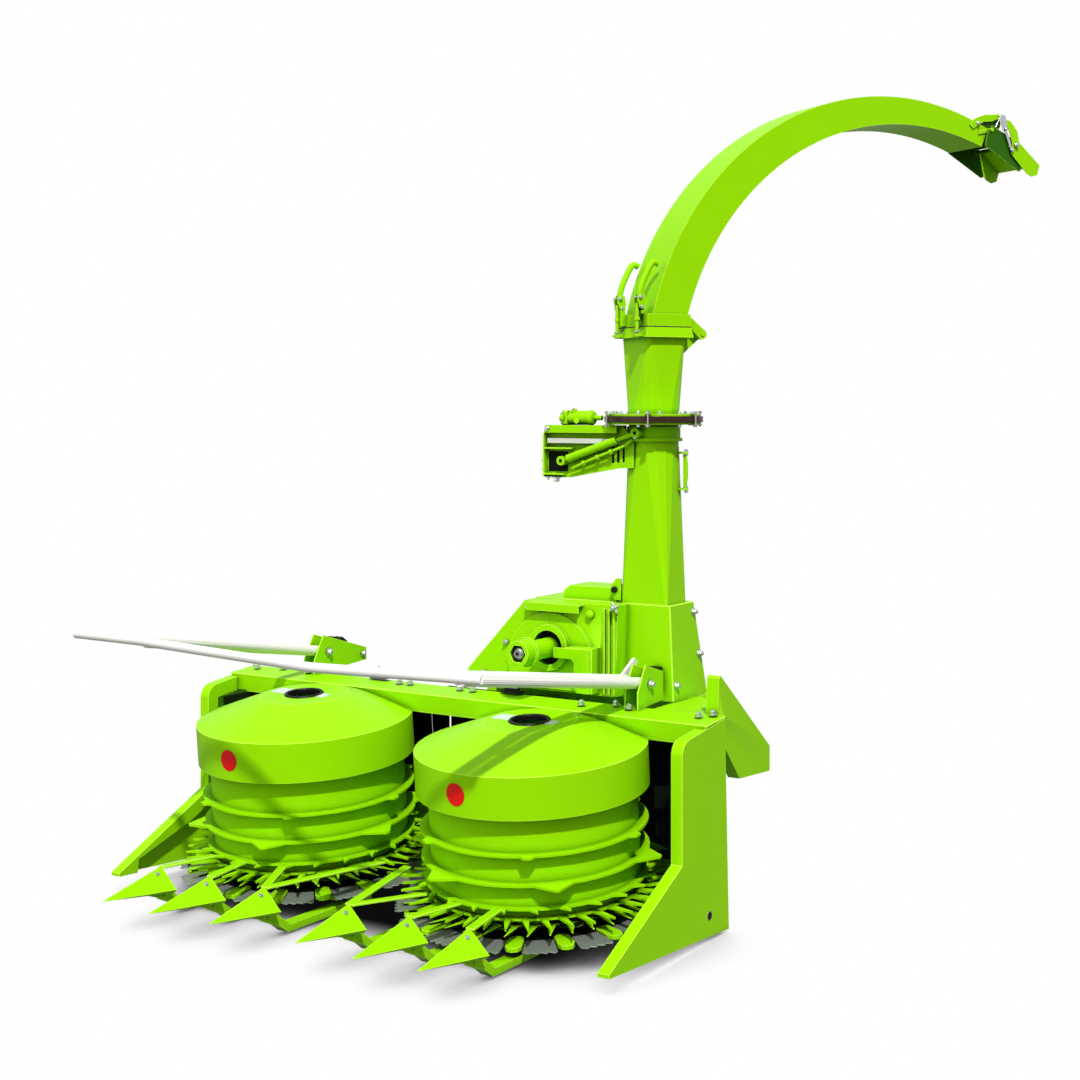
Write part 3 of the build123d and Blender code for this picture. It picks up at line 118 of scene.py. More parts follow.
blend = add_node(sky, "MixShader", {0: whiteness, 1: lighting.outputs[0], 2: seen.outputs[0]})
add_node(sky, "OutputWorld", {0: blend.outputs[0]})


def add_sun(name, source, energy, spread, colour=(1, 1, 1)):
    """A sun that shines from a direction, with its angular spread in degrees."""
    lamp = bpy.data.lights.new(name, "SUN")
    lamp.energy = energy
    lamp.angle = radians(spread)
    lamp.color = colour
    holder = bpy.data.objects.new(name, lamp)
    holder.rotation_euler = Vector(source).to_track_quat("Z", "Y").to_euler()
    scene.collection.objects.link(holder)


add_sun("key_sun", (0.41, -0.49, 0.77), 3.4, 2.4, (1.0, 0.99, 0.96))
add_sun("fill_sun", (-0.35, -0.80, 0.40), 0.9, 70)


# ---------------------------------------- floor
# A white studio floor, just under the machine, that glows. Painted shade darkens it softly where
# something stands close over it, and a painted shadow makes it nearly black under the middle of the
# header. To all other rays it glows dim grey, as light thrown back from the floor.
def mix_colour(tree, amount, first, second):
    """Mixes two colours, each a plain colour or the socket that gives it."""
    return add_node(tree, "Mix", {0: amount, 6: first, 7: second}, data_type="RGBA").outputs[2]


FLOOR_HALF = 14.0
FLOOR_DROP = 0.001
SHADE_REACH = 0.50
FOOTPRINT = (("X", -1.04, 0.98), ("Y", -0.50, 0.40))
FOOTPRINT_OUTSIDE, FOOTPRINT_INSIDE = 0.04, 0.26
floor_mesh = bpy.data.meshes.new("floor")
floor_mesh.from_pydata([(FLOOR_HALF * x, FLOOR_HALF * y, 0)
                        for x, y in ((-1, -1), (1, -1), (1, 1), (-1, 1))], [], [(0, 1, 2, 3)])
floor = bpy.data.objects.new("floor", floor_mesh)
scene.collection.objects.link(floor)
floor.location.z = -FLOOR_DROP
floor_paint = bpy.data.materials.new("floor")
floor_paint.use_nodes = True
paint = floor_paint.node_tree
paint.nodes.clear()
contact = add_node(paint, "AmbientOcclusion", {"Distance": SHADE_REACH}, samples=12)
shade = grey_ramp(paint, contact.outputs["Color"], (0.0, 0.02), (0.72, 1.0))
place = add_node(paint, "NewGeometry")
along = add_node(paint, "SeparateXYZ", {0: place.outputs["Position"]})
inside = [add_node(paint, "MapRange", {"Value": along.outputs[axis],
                                       "From Min": start - way * FOOTPRINT_OUTSIDE,
                                       "From Max": start + way * FOOTPRINT_INSIDE},
                   interpolation_type="SMOOTHSTEP").outputs[0]
          for axis, near, far in FOOTPRINT for start, way in ((near, 1), (far, -1))]
under = mix_colour(paint, combine(paint, "MULTIPLY", inside), shade, (0.004, 0.004, 0.004, 1))
shown_floor = add_node(paint, "Emission", {0: under})
lighting_floor = add_node(paint, "Emission", {0: (0.8, 0.8, 0.8, 1), 1: 0.30})
path = add_node(paint, "LightPath")
pick = add_node(paint, "MixShader", {0: path.outputs["Is Camera Ray"],
                                     1: lighting_floor.outputs[0], 2: shown_floor.outputs[0]})
add_node(paint, "OutputMaterial", {0: pick.outputs[0]})
floor_mesh.materials.append(floor_paint)

# ---------------------------------------- side panels
# Two end plates of 6 mm sheet with a rim folded along the front edge, sprayed with the machine's
# lime gloss. They are bolted to the ends of the crossbeam.
CLOUD_SCALE = 5.0
GLOSS_SCALE = 38.0
EDGE_RADIUS = 0.0055
EDGE_HIGHLIGHT_FROM, EDGE_HIGHLIGHT_FULL = 0.995, 0.86
RECESS_SHADE_FULL, RECESS_SHADE_FROM = 0.20, 0.80
BUMP_DEPTH = 0.0006


def surface(name, colour, rough=0.3, metal=0.0, shine=0.5, cloud=0.05, grain=0.0,
            grain_size=900.0, gloss_tint=(1, 1, 1), edge=None, recess_shade=None, reach=0.05):
    """A material with clouded colour and gloss, fine bumps, painted edge highlights and painted
    recess shade.
    """
    made = bpy.data.materials.new(name)
    made.use_nodes = True
    tree = made.node_tree
    body = tree.nodes["Principled BSDF"]
    body.inputs["Metallic"].default_value = metal
    body.inputs["Specular IOR Level"].default_value = shine
    body.inputs["Specular Tint"].default_value = (*gloss_tint, 1)
    place = add_node(tree, "TexCoord").outputs["Object"]
    clouds = add_node(tree, "TexNoise", {"Vector": place, "Scale": CLOUD_SCALE, "Detail": 5.0})
    shown = mix_colour(tree, clouds.outputs["Fac"], (*[c * (1 - cloud) for c in colour], 1),
                       (*[min(c * (1 + cloud), 1) for c in colour], 1))
    # The edge colour is a painted highlight, mixed in where the rounded normal turns from the face.
    if edge:
        rounded = add_node(tree, "Bevel", {"Radius": EDGE_RADIUS}, samples=4)
        flat = add_node(tree, "NewGeometry")
        turn = add_node(tree, "VectorMath", {0: rounded.outputs[0], 1: flat.outputs["True Normal"]},
                        operation="DOT_PRODUCT")
        edge_highlight = add_node(tree, "MapRange", {"Value": turn.outputs["Value"],
                                           "From Min": EDGE_HIGHLIGHT_FROM, "From Max": EDGE_HIGHLIGHT_FULL})
        shown = mix_colour(tree, edge_highlight.outputs[0], shown, (*edge, 1))
    # The colour for recesses is painted shade, mixed in where ambient occlusion finds faces close
    # by.
    if recess_shade:
        deep = add_node(tree, "AmbientOcclusion", {"Distance": reach}, samples=6)
        recess_shade_amount = add_node(tree, "MapRange", {"Value": deep.outputs["AO"], "From Min": RECESS_SHADE_FULL,
                                             "From Max": RECESS_SHADE_FROM, "To Min": 1.0, "To Max": 0.0})
        shown = mix_colour(tree, recess_shade_amount.outputs[0], shown, (*recess_shade, 1))
    tree.links.new(shown, body.inputs["Base Color"])
    fine = add_node(tree, "TexNoise", {"Vector": place, "Scale": GLOSS_SCALE, "Detail": 6.0})
    gloss = add_node(tree, "MapRange", {"Value": fine.outputs["Fac"], "To Min": rough * 0.8,
                                        "To Max": rough * 1.25})
    tree.links.new(gloss.outputs[0], body.inputs["Roughness"])
    if grain:
        speckle = add_node(tree, "TexNoise", {"Vector": place, "Scale": grain_size})
        bump = add_node(tree, "Bump", {"Height": speckle.outputs["Fac"], "Strength": grain,
                                       "Distance": BUMP_DEPTH})
        tree.links.new(bump.outputs["Normal"], body.inputs["Normal"])
    return made


# Lime's edge colour is a painted highlight, and its colour for recesses is painted shade.
LIME = (0.292, 0.700, 0.002)
LIME_GLOSS = (0.75, 1.0, 0.15)
LIME_EDGE_HIGHLIGHT = (0.56, 0.96, 0.04)
lime = surface("lime_gloss", LIME, rough=0.38, shine=0.12, cloud=0.03, grain=0.03,
               grain_size=260.0, gloss_tint=LIME_GLOSS, edge=LIME_EDGE_HIGHLIGHT,
               recess_shade=(0.012, 0.075, 0.0), reach=0.045)
# The rim lime is lime made lighter: a painted highlight for rounded edges.
lime_highlight_rim = surface("lime_highlight_rim", (0.52, 0.93, 0.06), rough=0.30, shine=0.30, cloud=0.08,
                   gloss_tint=LIME_GLOSS)

WELD_GAP = 0.00002
RIM_FROM = 0.0015
RIM_GROWTH = 1.5
BODY_OF = {node: body for body, nodes in frame["record"]["behaviour"]["bodies"].items()
           for node in nodes}


def skin(node, material, width=0.0015, segments=2, sharp=32, crease=None, join=0.6):
    """A CAD node's mesh with its edges rounded, standing for the node.

    Width and segments shape the rounding of edges over sharp degrees. Crease is the angle over
    which shading breaks, and join the angle up to which flat faces are merged.
    """
    source = frame["nodes"][node]
    mesh = bpy.data.meshes.new(node + "_skin")
    work = bmesh.new()
    work.from_mesh(source.data)
    work.transform(source.matrix_world)
    bmesh.ops.remove_doubles(work, verts=work.verts, dist=WELD_GAP)
    bmesh.ops.dissolve_limit(work, angle_limit=radians(join), verts=work.verts, edges=work.edges)
    for face in work.faces:
        face.smooth = True
    work.to_mesh(mesh)
    work.free()
    piece = bpy.data.objects.new(node + "_skin", mesh)
    scene.collection.objects.link(piece)
    mesh.materials.append(material)
    mesh.set_sharp_from_angle(angle=radians(crease or sharp))
    if width:
        bevel = piece.modifiers.new("edge", "BEVEL")
        bevel.width = width
        bevel.segments = segments
        bevel.limit_method = "ANGLE"
        bevel.angle_limit = radians(sharp)
        bevel.use_clamp_overlap = True
        bevel.harden_normals = True
        bevel.miter_outer = "MITER_ARC"
        # Wider rounds of lime take the lighter rim lime, a painted highlight on the edge.
        if material is lime and width >= RIM_FROM:
            mesh.materials.append(lime_highlight_rim)
            bevel.width = width * RIM_GROWTH
            bevel.material = 1
    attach(piece, BODY_OF[node])
    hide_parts(node)
    return piece


for node in ("side_panel_left", "side_panel_right"):
    skin(node, lime, 0.0030, 3)

# ---------------------------------------- crossbeam, deck and lower tube
# A box beam under a wide top strip, the deck sheet behind the drums, the tube under them and the
# rear arm: welded steel in lime gloss.
for node, width in (("crossbeam", 0.002), ("header_deck", 0.001), ("cross_tube", 0.002),
                    ("rear_arm", 0.002)):
    skin(node, lime, width)


# ---------------------------------------- back walls, strippers and feed channel
# Bent sheet round the back of each drum, sprayed outside. Inside, near the drums, it is painted
# near black as shade, and so are the stripper bars and the channel that leads to the chopper.
def add_dark_inside(material, axes, radius):
    """Blackens a material within a radius of any of the upright axes, as painted shade."""
    tree = material.node_tree
    base = tree.nodes["Principled BSDF"].inputs["Base Color"]
    place = add_node(tree, "NewGeometry").outputs["Position"]
    near = []
    for x, y in axes:
        away = add_node(tree, "VectorMath", {0: place, 1: (x, y, 0)}, operation="SUBTRACT")
        level = add_node(tree, "VectorMath", {0: away.outputs[0], 1: (1, 1, 0)},
                         operation="MULTIPLY")
        length = add_node(tree, "VectorMath", {0: level.outputs[0]}, operation="LENGTH")
        near.append(add_node(tree, "Math", {0: length.outputs["Value"], 1: radius},
                             operation="LESS_THAN").outputs[0])
    dark = mix_colour(tree, combine(tree, "MAXIMUM", near), base.links[0].from_socket,
                      (0.006, 0.010, 0.004, 1))
    tree.links.new(dark, base)


SIDES = (("left", -1), ("right", 1))
DRUM_X = 0.540
INSIDE_SHADE_REACH = 0.5685
WALL_BACK = 0.55
walls = surface("wall_sheet", LIME, rough=0.4, shine=0.3, grain=0.15, grain_size=200.0,
                gloss_tint=LIME_GLOSS)
add_dark_inside(walls, ((-DRUM_X, 0.0), (DRUM_X, 0.0)), INSIDE_SHADE_REACH)
shade_black = surface("painted_shade_black", (0.004, 0.007, 0.003), rough=0.6, shine=0.05, cloud=0.4, grain=0.4,
               grain_size=90.0)
for side_name, side in SIDES:
    wall = skin("back_wall_" + side_name, walls, 0.001)
    wall.data.materials.append(lime)
    for face in wall.data.polygons:
        away = Vector((face.center[0] - side * DRUM_X, face.center[1], 0))
        if face.normal.dot(away) > 0.3 * away.length and away.length > WALL_BACK:
            face.material_index = 1
skin("strippers", shade_black, 0.001)
skin("feed_channel", shade_black, 0.001)

# ---------------------------------------- hoods
# Pressed lids over the drums: a low crown with a black inspection hole and two blank plates, and
# a round red spot on the skirt.
for node in ("hood_left", "hood_right"):
    skin(node, lime, 0.0035, 3, sharp=14)


def piece_from(name, work, material, body, smooth=True):
    """Turns a finished bmesh into a piece that rides on a body."""
    bmesh.ops.recalc_face_normals(work, faces=work.faces)
    mesh = bpy.data.meshes.new(name)
    for face in work.faces:
        face.smooth = smooth
    work.to_mesh(mesh)
    work.free()
    mesh.materials.append(material)
    if smooth:
        mesh.set_sharp_from_angle(angle=radians(35))
    made = bpy.data.objects.new(name, mesh)
    scene.collection.objects.link(made)
    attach(made, body)
    return made


def band(work, low, high):
    """Adds the faces between two closed rings of as many points."""
    for step in range(len(low)):
        after = (step + 1) % len(low)
        work.faces.new((low[step], low[after], high[after], high[step]))


def turned(work, at, axis, profile, steps=32):
    """Adds a turned form: profile rows are (distance along the axis, radius)."""
    at = Vector(at)
    turn = Vector(axis).normalized().to_track_quat("Z", "Y").to_matrix()
    angles = [2 * pi * step / steps for step in range(steps)]
    rings = [[work.verts.new(at + turn @ Vector((radius * cos(a), radius * sin(a), along)))
              for a in angles] for along, radius in profile]
    for low, high in zip(rings, rings[1:]):
        band(work, low, high)
    work.faces.new(rings[0][::-1])
    work.faces.new(rings[-1])


def disc(work, at, axis, radius, height, steps=32):
    """Adds a plain round bar or disc that stands on a point."""
    turned(work, at, axis, ((0.0, radius), (height, radius)), steps)


def slab(work, corners, thickness):
    """Adds a plate over a flat outline, grown along the outline's normal."""
    points = [Vector(corner) for corner in corners]
    normal = (points[1] - points[0]).cross(points[2] - points[1]).normalized() * thickness
    low = [work.verts.new(point) for point in points]
    high = [work.verts.new(point + normal) for point in points]
    band(work, low, high)
    work.faces.new(low[::-1])
    work.faces.new(high)


TILT = radians(5)
HEAD_X = Vector((1, 0, 0))
HEAD_V = Vector((0, cos(TILT), sin(TILT)))
HEAD_S = Vector((0, -sin(TILT), cos(TILT)))
HEAD_FOOT_Y = 0.023


def head(x, v, s):
    """A point in the header's tilted frame: across, back along its slope, and up its drums."""
    return Vector((x, HEAD_FOOT_Y, 0)) + HEAD_V * v + HEAD_S * s


def clipped_plate(half_x, half_v, upright):
    """A plate's eight corners about its middle; upright is the uncut share of its short sides."""
    return [HEAD_X * half_x * i + HEAD_V * half_v * j
            for i, j in ((-1, -upright), (-0.8, -1), (0.8, -1), (1, -upright),
                         (1, upright), (0.8, 1), (-0.8, 1), (-1, upright))]


# This black serves for rubber and for painted shade.
black = surface("black_rubber_and_shade", (0.004, 0.004, 0.004), rough=0.45, shine=0.2, cloud=0.3, grain=0.2)
red = surface("red_paint", (0.80, 0.0, 0.0), rough=0.35, shine=0.4, cloud=0.04, grain=0.08,
              grain_size=300.0)
plate_metal = surface("plate_foil", (0.74, 0.78, 0.84), rough=0.30, metal=0.25, cloud=0.12,
                      grain=0.2, grain_size=60.0)
HOOD_TOP_S = 0.774
HOLE_RIM = ((-0.014, 0.0655), (0.002, 0.0655), (0.006, 0.068), (0.006, 0.076), (0.001, 0.079))
HOLE_DEPTH = 0.060
RIM_STEPS = 48
PLATES = ((-0.112, 0.040, 0.034), (0.096, 0.020, 0.026))
for side_name, side in SIDES:
    work = bmesh.new()
    angles = [2 * pi * step / RIM_STEPS for step in range(RIM_STEPS)]
    for rows in zip(HOLE_RIM, HOLE_RIM[1:]):
        band(work, *[[work.verts.new(head(side * DRUM_X, 0, HOOD_TOP_S + along)
                                     + HEAD_X * radius * cos(a) + HEAD_V * radius * sin(a))
                      for a in angles] for along, radius in rows])
    # The black disc down in each hole is painted shade for the hole's dark inside.
    disc(work, head(side * DRUM_X, 0, HOOD_TOP_S - HOLE_DEPTH), HEAD_S, 0.070, 0.004, RIM_STEPS)
    piece_from(f"hood_hole_{side_name}", work, black, "frame")
    work = bmesh.new()
    for middle, half_x, half_v in PLATES:
        spot = head(side * DRUM_X + middle, 0.004, HOOD_TOP_S + 0.0004)
        slab(work, [spot + corner for corner in clipped_plate(half_x, half_v, 0.8)], 0.0012)
    piece_from(f"hood_plates_{side_name}", work, plate_metal, "frame", smooth=False)

# The red spots follow the curve of the skirt.
SKIRT_R = 0.430
SPOT_R = 0.041
SPOT_S = 0.6120
SPOT_LIFT = 0.0012
SPOT_ROWS, SPOT_COLUMNS = 12, 16
for side_name, side, heading in (("left", -1, -92.6), ("right", 1, -95.0)):
    work = bmesh.new()
    rows = []
    for row in range(SPOT_ROWS + 1):
        lift = SPOT_R * cos(pi * row / SPOT_ROWS)
        half = SPOT_R * sin(pi * row / SPOT_ROWS)
        turns = [radians(heading) + half * (column / (SPOT_COLUMNS / 2) - 1) / SKIRT_R
                 for column in range(SPOT_COLUMNS + 1)]
        rows.append([work.verts.new(head(side * DRUM_X, 0, SPOT_S + lift)
                                    + (HEAD_X * cos(turn) + HEAD_V * sin(turn))
                                    * (SKIRT_R + SPOT_LIFT)) for turn in turns])
    for low, high in zip(rows, rows[1:]):
        for step in range(SPOT_COLUMNS):
            work.faces.new((low[step], low[step + 1], high[step + 1], high[step]))
    bmesh.ops.remove_doubles(work, verts=work.verts, dist=0.00005)
    piece_from(f"red_spot_{side_name}", work, red, "frame")


# ---------------------------------------- bolts and latches on the crossbeam
# Zinc-plated hexagon bolts hold the panels, brackets and drum columns to the beam, and two
# over-centre latches on black pads hold the hoods shut.
def bolt(work, at, axis, flats=0.019, shank=0.0):
    """Adds a washer and a chamfered hexagon head, with a stub of thread where shank is given."""
    at = Vector(at)
    axis = Vector(axis).normalized()
    corner = flats / 1.732
    turned(work, at, axis, ((-0.001, corner * 1.45), (0.0022, corner * 1.45),
                            (0.0028, corner * 1.35)), 20)
    turned(work, at + axis * 0.0028, axis, ((0.0, corner * 0.98), (0.0012, corner),
                                            (flats * 0.50, corner),
                                            (flats * 0.62, corner * 0.82)), 6)
    if shank:
        turned(work, at + axis * flats * 0.6, axis, ((0.0, flats * 0.30), (shank, flats * 0.30),
                                                     (shank + 0.0015, flats * 0.22)), 12)


def bolts(name, rows, body):
    """One zinc-plated piece with a bolt for each row of position, axis, flats and thread."""
    work = bmesh.new()
    for at, axis, flats, shank in rows:
        bolt(work, at, axis, flats, shank)
    return piece_from(name, work, zinc, body)


def on_beam(x, y, lift=0.0):
    """A point on the beam's tilted top strip."""
    rise = (y - HEAD_FOOT_Y) * sin(TILT) / cos(TILT)
    return Vector((x, y, (BEAM_TOP_S + lift) / cos(TILT) + rise))


zinc = surface("zinc_bolt", (0.62, 0.63, 0.66), rough=0.26, metal=0.9, cloud=0.18, grain=0.2,
               grain_size=700.0)
BEAM_TOP_S = 0.7685
BEAM_BOLTS = ((-1.075, 0.268), (-1.115, 0.312), (-0.956, 0.300), (-0.804, 0.288),
              (-0.308, 0.276), (-0.257, 0.281), (-0.007, 0.281), (0.057, 0.280), (0.580, 0.253),
              (0.7052, 0.297), (0.7775, 0.270), (1.073, 0.267), (1.112, 0.305))
LATCHES = ((-0.438, 0.318), (0.2185, 0.318))
LATCH_PAD = ((0.050, 0.022, 0.0, 0.009), (0.033, 0.015, 0.008, 0.016))
LATCH_LEVER = ((-0.020, -0.010), (0.014, -0.010), (0.032, -0.004), (0.032, 0.004),
               (0.014, 0.010), (-0.020, 0.010))
bolts("beam_bolts", [(on_beam(x, y), HEAD_S, 0.019, 0.005) for x, y in BEAM_BOLTS], "frame")
for number, (x, y) in enumerate(LATCHES):
    work = bmesh.new()
    for half_x, half_v, low, high in LATCH_PAD:
        slab(work, [on_beam(x, y, low) + corner for corner in clipped_plate(half_x, half_v, 0.5)],
             high - low)
    piece_from(f"latch_pad_{number}", work, black, "frame")
    work = bmesh.new()
    slab(work, [on_beam(x, y, 0.015) + HEAD_X * along + HEAD_V * v for along, v in LATCH_LEVER],
         0.010)
    bolt(work, on_beam(x - 0.008, y, 0.025), HEAD_S, 0.019, 0.008)
    disc(work, on_beam(x - 0.028, y, 0.018) - HEAD_V * 0.014, HEAD_V, 0.0045, 0.028, 16)
    piece_from(f"latch_{number}", work, zinc, "frame")

# ---------------------------------------- throat of the feed channel
# The back of the channel beside, under and over the chopper's inlet is closed with thin sheet,
# painted near black as shade.
THROAT_Y = 0.6015
THROAT_SHEET = 0.0020
THROAT = ((-0.284, 0.075, 0.130, 0.705), (0.265, 0.284, 0.130, 0.705),
          (0.075, 0.265, 0.130, 0.360), (0.075, 0.265, 0.600, 0.705))
work = bmesh.new()
for low_x, high_x, low_z, high_z in THROAT:
    slab(work, [(low_x, THROAT_Y, low_z), (high_x, THROAT_Y, low_z), (high_x, THROAT_Y, high_z),
                (low_x, THROAT_Y, high_z)], -THROAT_SHEET)
piece_from("channel_shade_sheet", work, shade_black, "frame", smooth=False)

# ---------------------------------------- rear covers
# Zinc-plated bolts round the rim of the chopper casing's rear cover, down both sides of the
# gearbox's cover, and in a ring round the bearing of the power input.
CASING_RIM = ((-0.035, 0.540), (-0.035, 0.700), (0.018, 0.895), (0.120, 1.016), (0.236, 1.136),
              (0.400, 1.136), (0.830, 0.770), (0.831, 0.570), (0.788, 0.450), (0.745, 0.345),
              (0.650, 0.250), (0.552, 0.180), (0.400, 0.180), (0.248, 0.180))
POWER_INPUT_Z = 0.620
BEARING_BOLTS_R = 0.049
casing_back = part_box("chopper_housing")[1][1]
bolts("casing_bolts", [((x, casing_back, z), (0, 1, 0), 0.017, 0.004) for x, z in CASING_RIM],
      "frame")
gearbox_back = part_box("main_gearbox")[1][1]
cover_back = gearbox_back - 0.024
rows = [((x, cover_back, POWER_INPUT_Z + z), (0, 1, 0), 0.017, 0.004)
        for x in (-0.070, 0.100) for z in (-0.100, 0.0, 0.100)]
rows += [((BEARING_BOLTS_R * cos(a), gearbox_back, POWER_INPUT_Z + BEARING_BOLTS_R * sin(a)),
          (0, 1, 0), 0.010, 0.002) for a in [radians(degrees) for degrees in range(22, 360, 45)]]
bolts("gearbox_bolts", rows, "frame")


# ---------------------------------------- hitch pins and lifting lug
# A spring pin with a wire ring through each lower hitch pin keeps its ball on. The lifting lug is a
# cut plate in front of the tower's base, with a rubber plug in its eye.
def rod(name, points, radius, material, body, sides=8):
    """A round bar bent smoothly through its points."""
    line = bpy.data.curves.new(name, "CURVE")
    line.dimensions = "3D"
    line.bevel_depth = radius
    line.bevel_resolution = sides // 2
    line.use_fill_caps = True
    run = line.splines.new("NURBS")
    run.points.add(len(points) - 1)
    for place, point in zip(run.points, points):
        place.co = (*point, 1)
    run.order_u = 3 if len(points) > 2 else 2
    run.use_endpoint_u = True
    line.resolution_u = 10
    line.materials.append(material)
    made = bpy.data.objects.new(name, line)
    scene.collection.objects.link(made)
    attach(made, body)
    return made


HITCH_PIN_Y = 0.950
LUG_Y = 0.4880
LUG = ((0.576, 1.188), (0.592, 1.166), (0.618, 1.166), (0.618, 1.250), (0.596, 1.250),
       (0.576, 1.222))
hitch_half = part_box("hitch_frame")[1][0]
for side_name, side in SIDES:
    x = side * (hitch_half - 0.016)
    rod(f"linch_pin_{side_name}", [(x, HITCH_PIN_Y, 0.352), (x, HITCH_PIN_Y, 0.414)], 0.0045, zinc,
        "frame", 12)
    angles = [radians(degrees) for degrees in range(-150, 151, 30)]
    rod(f"linch_ring_{side_name}",
        [(x, HITCH_PIN_Y + 0.020 * sin(a), 0.390 - 0.026 * cos(a)) for a in angles], 0.0020, zinc,
        "frame", 8)
work = bmesh.new()
slab(work, [(x, LUG_Y, z) for x, z in LUG], 0.008)
piece_from("lifting_lug", work, lime, "frame")
work = bmesh.new()
turned(work, (0.592, LUG_Y - 0.008, 1.206), (0, -1, 0),
       ((0.0, 0.0120), (0.012, 0.0120), (0.016, 0.0095)), 24)
piece_from("lug_plug", work, black, "frame")


# ---------------------------------------- columns, knife discs and drums
# Toothed drums of welded rings over a disc that carries the knives on rounded clamp lobes. All but
# the knives are sprayed; the knives are hardened steel, ground bright at the edge. The low ring of
# teeth and the disc under the lobes are painted near black as shade.
def up_drum(point):
    """How far a point lies up the drums' tilted axes."""
    return (Vector(point) - head(0, 0, 0)).dot(HEAD_S)


def round_walls(piece, foot):
    """Shades a drum's upright walls as true rounds about its axis, and every other face flat."""
    mesh = piece.data
    normals = []
    for face in mesh.polygons:
        upright = abs(face.normal.dot(HEAD_S)) < 0.2
        for corner in face.loop_indices:
            spoke = mesh.vertices[mesh.loops[corner].vertex_index].co - foot
            spoke = (spoke - HEAD_S * spoke.dot(HEAD_S)).normalized()
            outward = upright and face.normal.dot(spoke) > 0.9
            normals.append(spoke if outward else face.normal)
    mesh.normals_split_custom_set(normals)


# The drums' lime has painted shade in recesses. The low lime is darker still there, with a painted
# highlight on edges.
lime_drum = surface("lime_drum", LIME, rough=0.55, shine=0.08, cloud=0.03, grain=0.03,
                    grain_size=260.0, gloss_tint=LIME_GLOSS, recess_shade=(0.006, 0.045, 0.0),
                    reach=0.060)
lime_low = surface("lime_low", LIME, rough=0.28, shine=0.16, cloud=0.03, grain=0.08,
                   grain_size=260.0, gloss_tint=LIME_GLOSS, edge=LIME_EDGE_HIGHLIGHT,
                   recess_shade=(0.002, 0.006, 0.0), reach=0.050)
knife_steel = surface("knife_steel", (0.36, 0.40, 0.35), rough=0.34, metal=0.6, shine=0.5,
                      cloud=0.15, grain=0.3, grain_size=400.0)
LOW_RING_S = 0.165
DISC_TOP_S = 0.1045
for side_name, side in SIDES:
    skin("drum_column_" + side_name, lime, 0.0015)
    drum = skin("drum_" + side_name, lime_drum, 0.0, join=0.02)
    drum.data.materials.append(lime_low)
    drum.data.materials.append(shade_black)
    # Up-facing faces of the low ring take the low lime, and its other faces near black: painted
    # shade.
    for face in drum.data.polygons:
        if up_drum(face.center) < LOW_RING_S:
            face.material_index = 1 if face.normal.dot(HEAD_S) > 0.6 else 2
    round_walls(drum, head(side * DRUM_X, 0, 0))
    knife_disc = skin("knife_disc_" + side_name, lime_low, 0.0010, 1)
    knife_disc.data.materials.append(shade_black)
    # The disc below its lobes is near black: painted shade.
    for face in knife_disc.data.polygons:
        if up_drum(face.center) < DISC_TOP_S:
            face.material_index = 1
for node in ("knife_blades_left", "knife_blades_right"):
    skin(node, knife_steel, 0.0006, 1)

# ---------------------------------------- dividers, guide bars and skid
# Folded sheet points on arms that run back under the knives, each held by a small bolt, flat bars
# that lead the stalks in, and the black steel skid in the middle.
for node, width in (("dividers_left", 0.0025), ("dividers_right", 0.0025), ("guide_bars", 0.0015)):
    skin(node, lime, width)
DIVIDERS_X = (0.195, 0.460, 0.710)
DIVIDER_BOLT = Vector((0.014, -0.695, 0.1735))
bolts("divider_bolts", [(DIVIDER_BOLT + HEAD_X * side * x, (0.70, -0.18, 0.70), 0.010, 0.001)
                        for side in (-1, 1) for x in DIVIDERS_X], "frame")
skid_steel = surface("skid_steel", (0.02, 0.02, 0.02), rough=0.5, shine=0.4, cloud=0.4, grain=0.5,
                     grain_size=120.0)
skin("centre_skid", skid_steel, 0.001)

# ---------------------------------------- chopper housing, drive housing and hitch
# Welded sheet boxes in lime gloss: the flywheel's casing, the header's drive in front of it and the
# gearbox, with the hitch frame and its two parking stands behind.
for node, width in (("chopper_housing", 0.003), ("drive_housing", 0.0025), ("main_gearbox", 0.004),
                    ("hitch_frame", 0.002), ("parking_stand_left", 0.002),
                    ("parking_stand_right", 0.002)):
    skin(node, lime, width)

# ---------------------------------------- fixings of the drive housing
# Zinc-plated hexagon bolts round the drive's cover, a painted dome plug, a star knob at its upper
# corner, and the dark bore that the clutch shaft comes out of.
DRIVE_FRONT = 0.392
SHAFT_X, SHAFT_Z = 0.352, 0.975
DRIVE_BOLTS = ((0.242, 1.127), (0.137, 0.978), (0.030, 0.850), (0.600, 0.850))
bolts("drive_bolts", [((x, DRIVE_FRONT, z), (0, -1, 0), 0.013, 0.003) for x, z in DRIVE_BOLTS],
      "frame")
work = bmesh.new()
turned(work, (0.532, DRIVE_FRONT + 0.002, 1.114), (0, -1, 0),
       ((0.0, 0.017), (0.006, 0.017), (0.012, 0.013), (0.015, 0.006)), 24)
piece_from("drive_plug", work, lime, "frame")
work = bmesh.new()
disc(work, (SHAFT_X, 0.396, SHAFT_Z), (0, -1, 0), 0.0660, 0.001, 40)
piece_from("drive_bore_shade", work, shade_black, "frame")
KNOB = Vector((0.651, 0.386, 1.148))
KNOB_ARMS = 4
work = bmesh.new()
turned(work, KNOB, (0, -1, 0),
       ((0.0, 0.011), (0.010, 0.011), (0.011, 0.008), (0.026, 0.008), (0.028, 0.005)), 24)
for arm in range(KNOB_ARMS):
    angle = 2 * pi * arm / KNOB_ARMS + 0.5
    root = KNOB + Vector((0.006 * cos(angle), -0.006, 0.006 * sin(angle)))
    turned(work, root, (cos(angle), -0.15, sin(angle)),
           ((0.0, 0.0055), (0.014, 0.006), (0.017, 0.004)), 12)
piece_from("drive_knob", work, zinc, "frame")

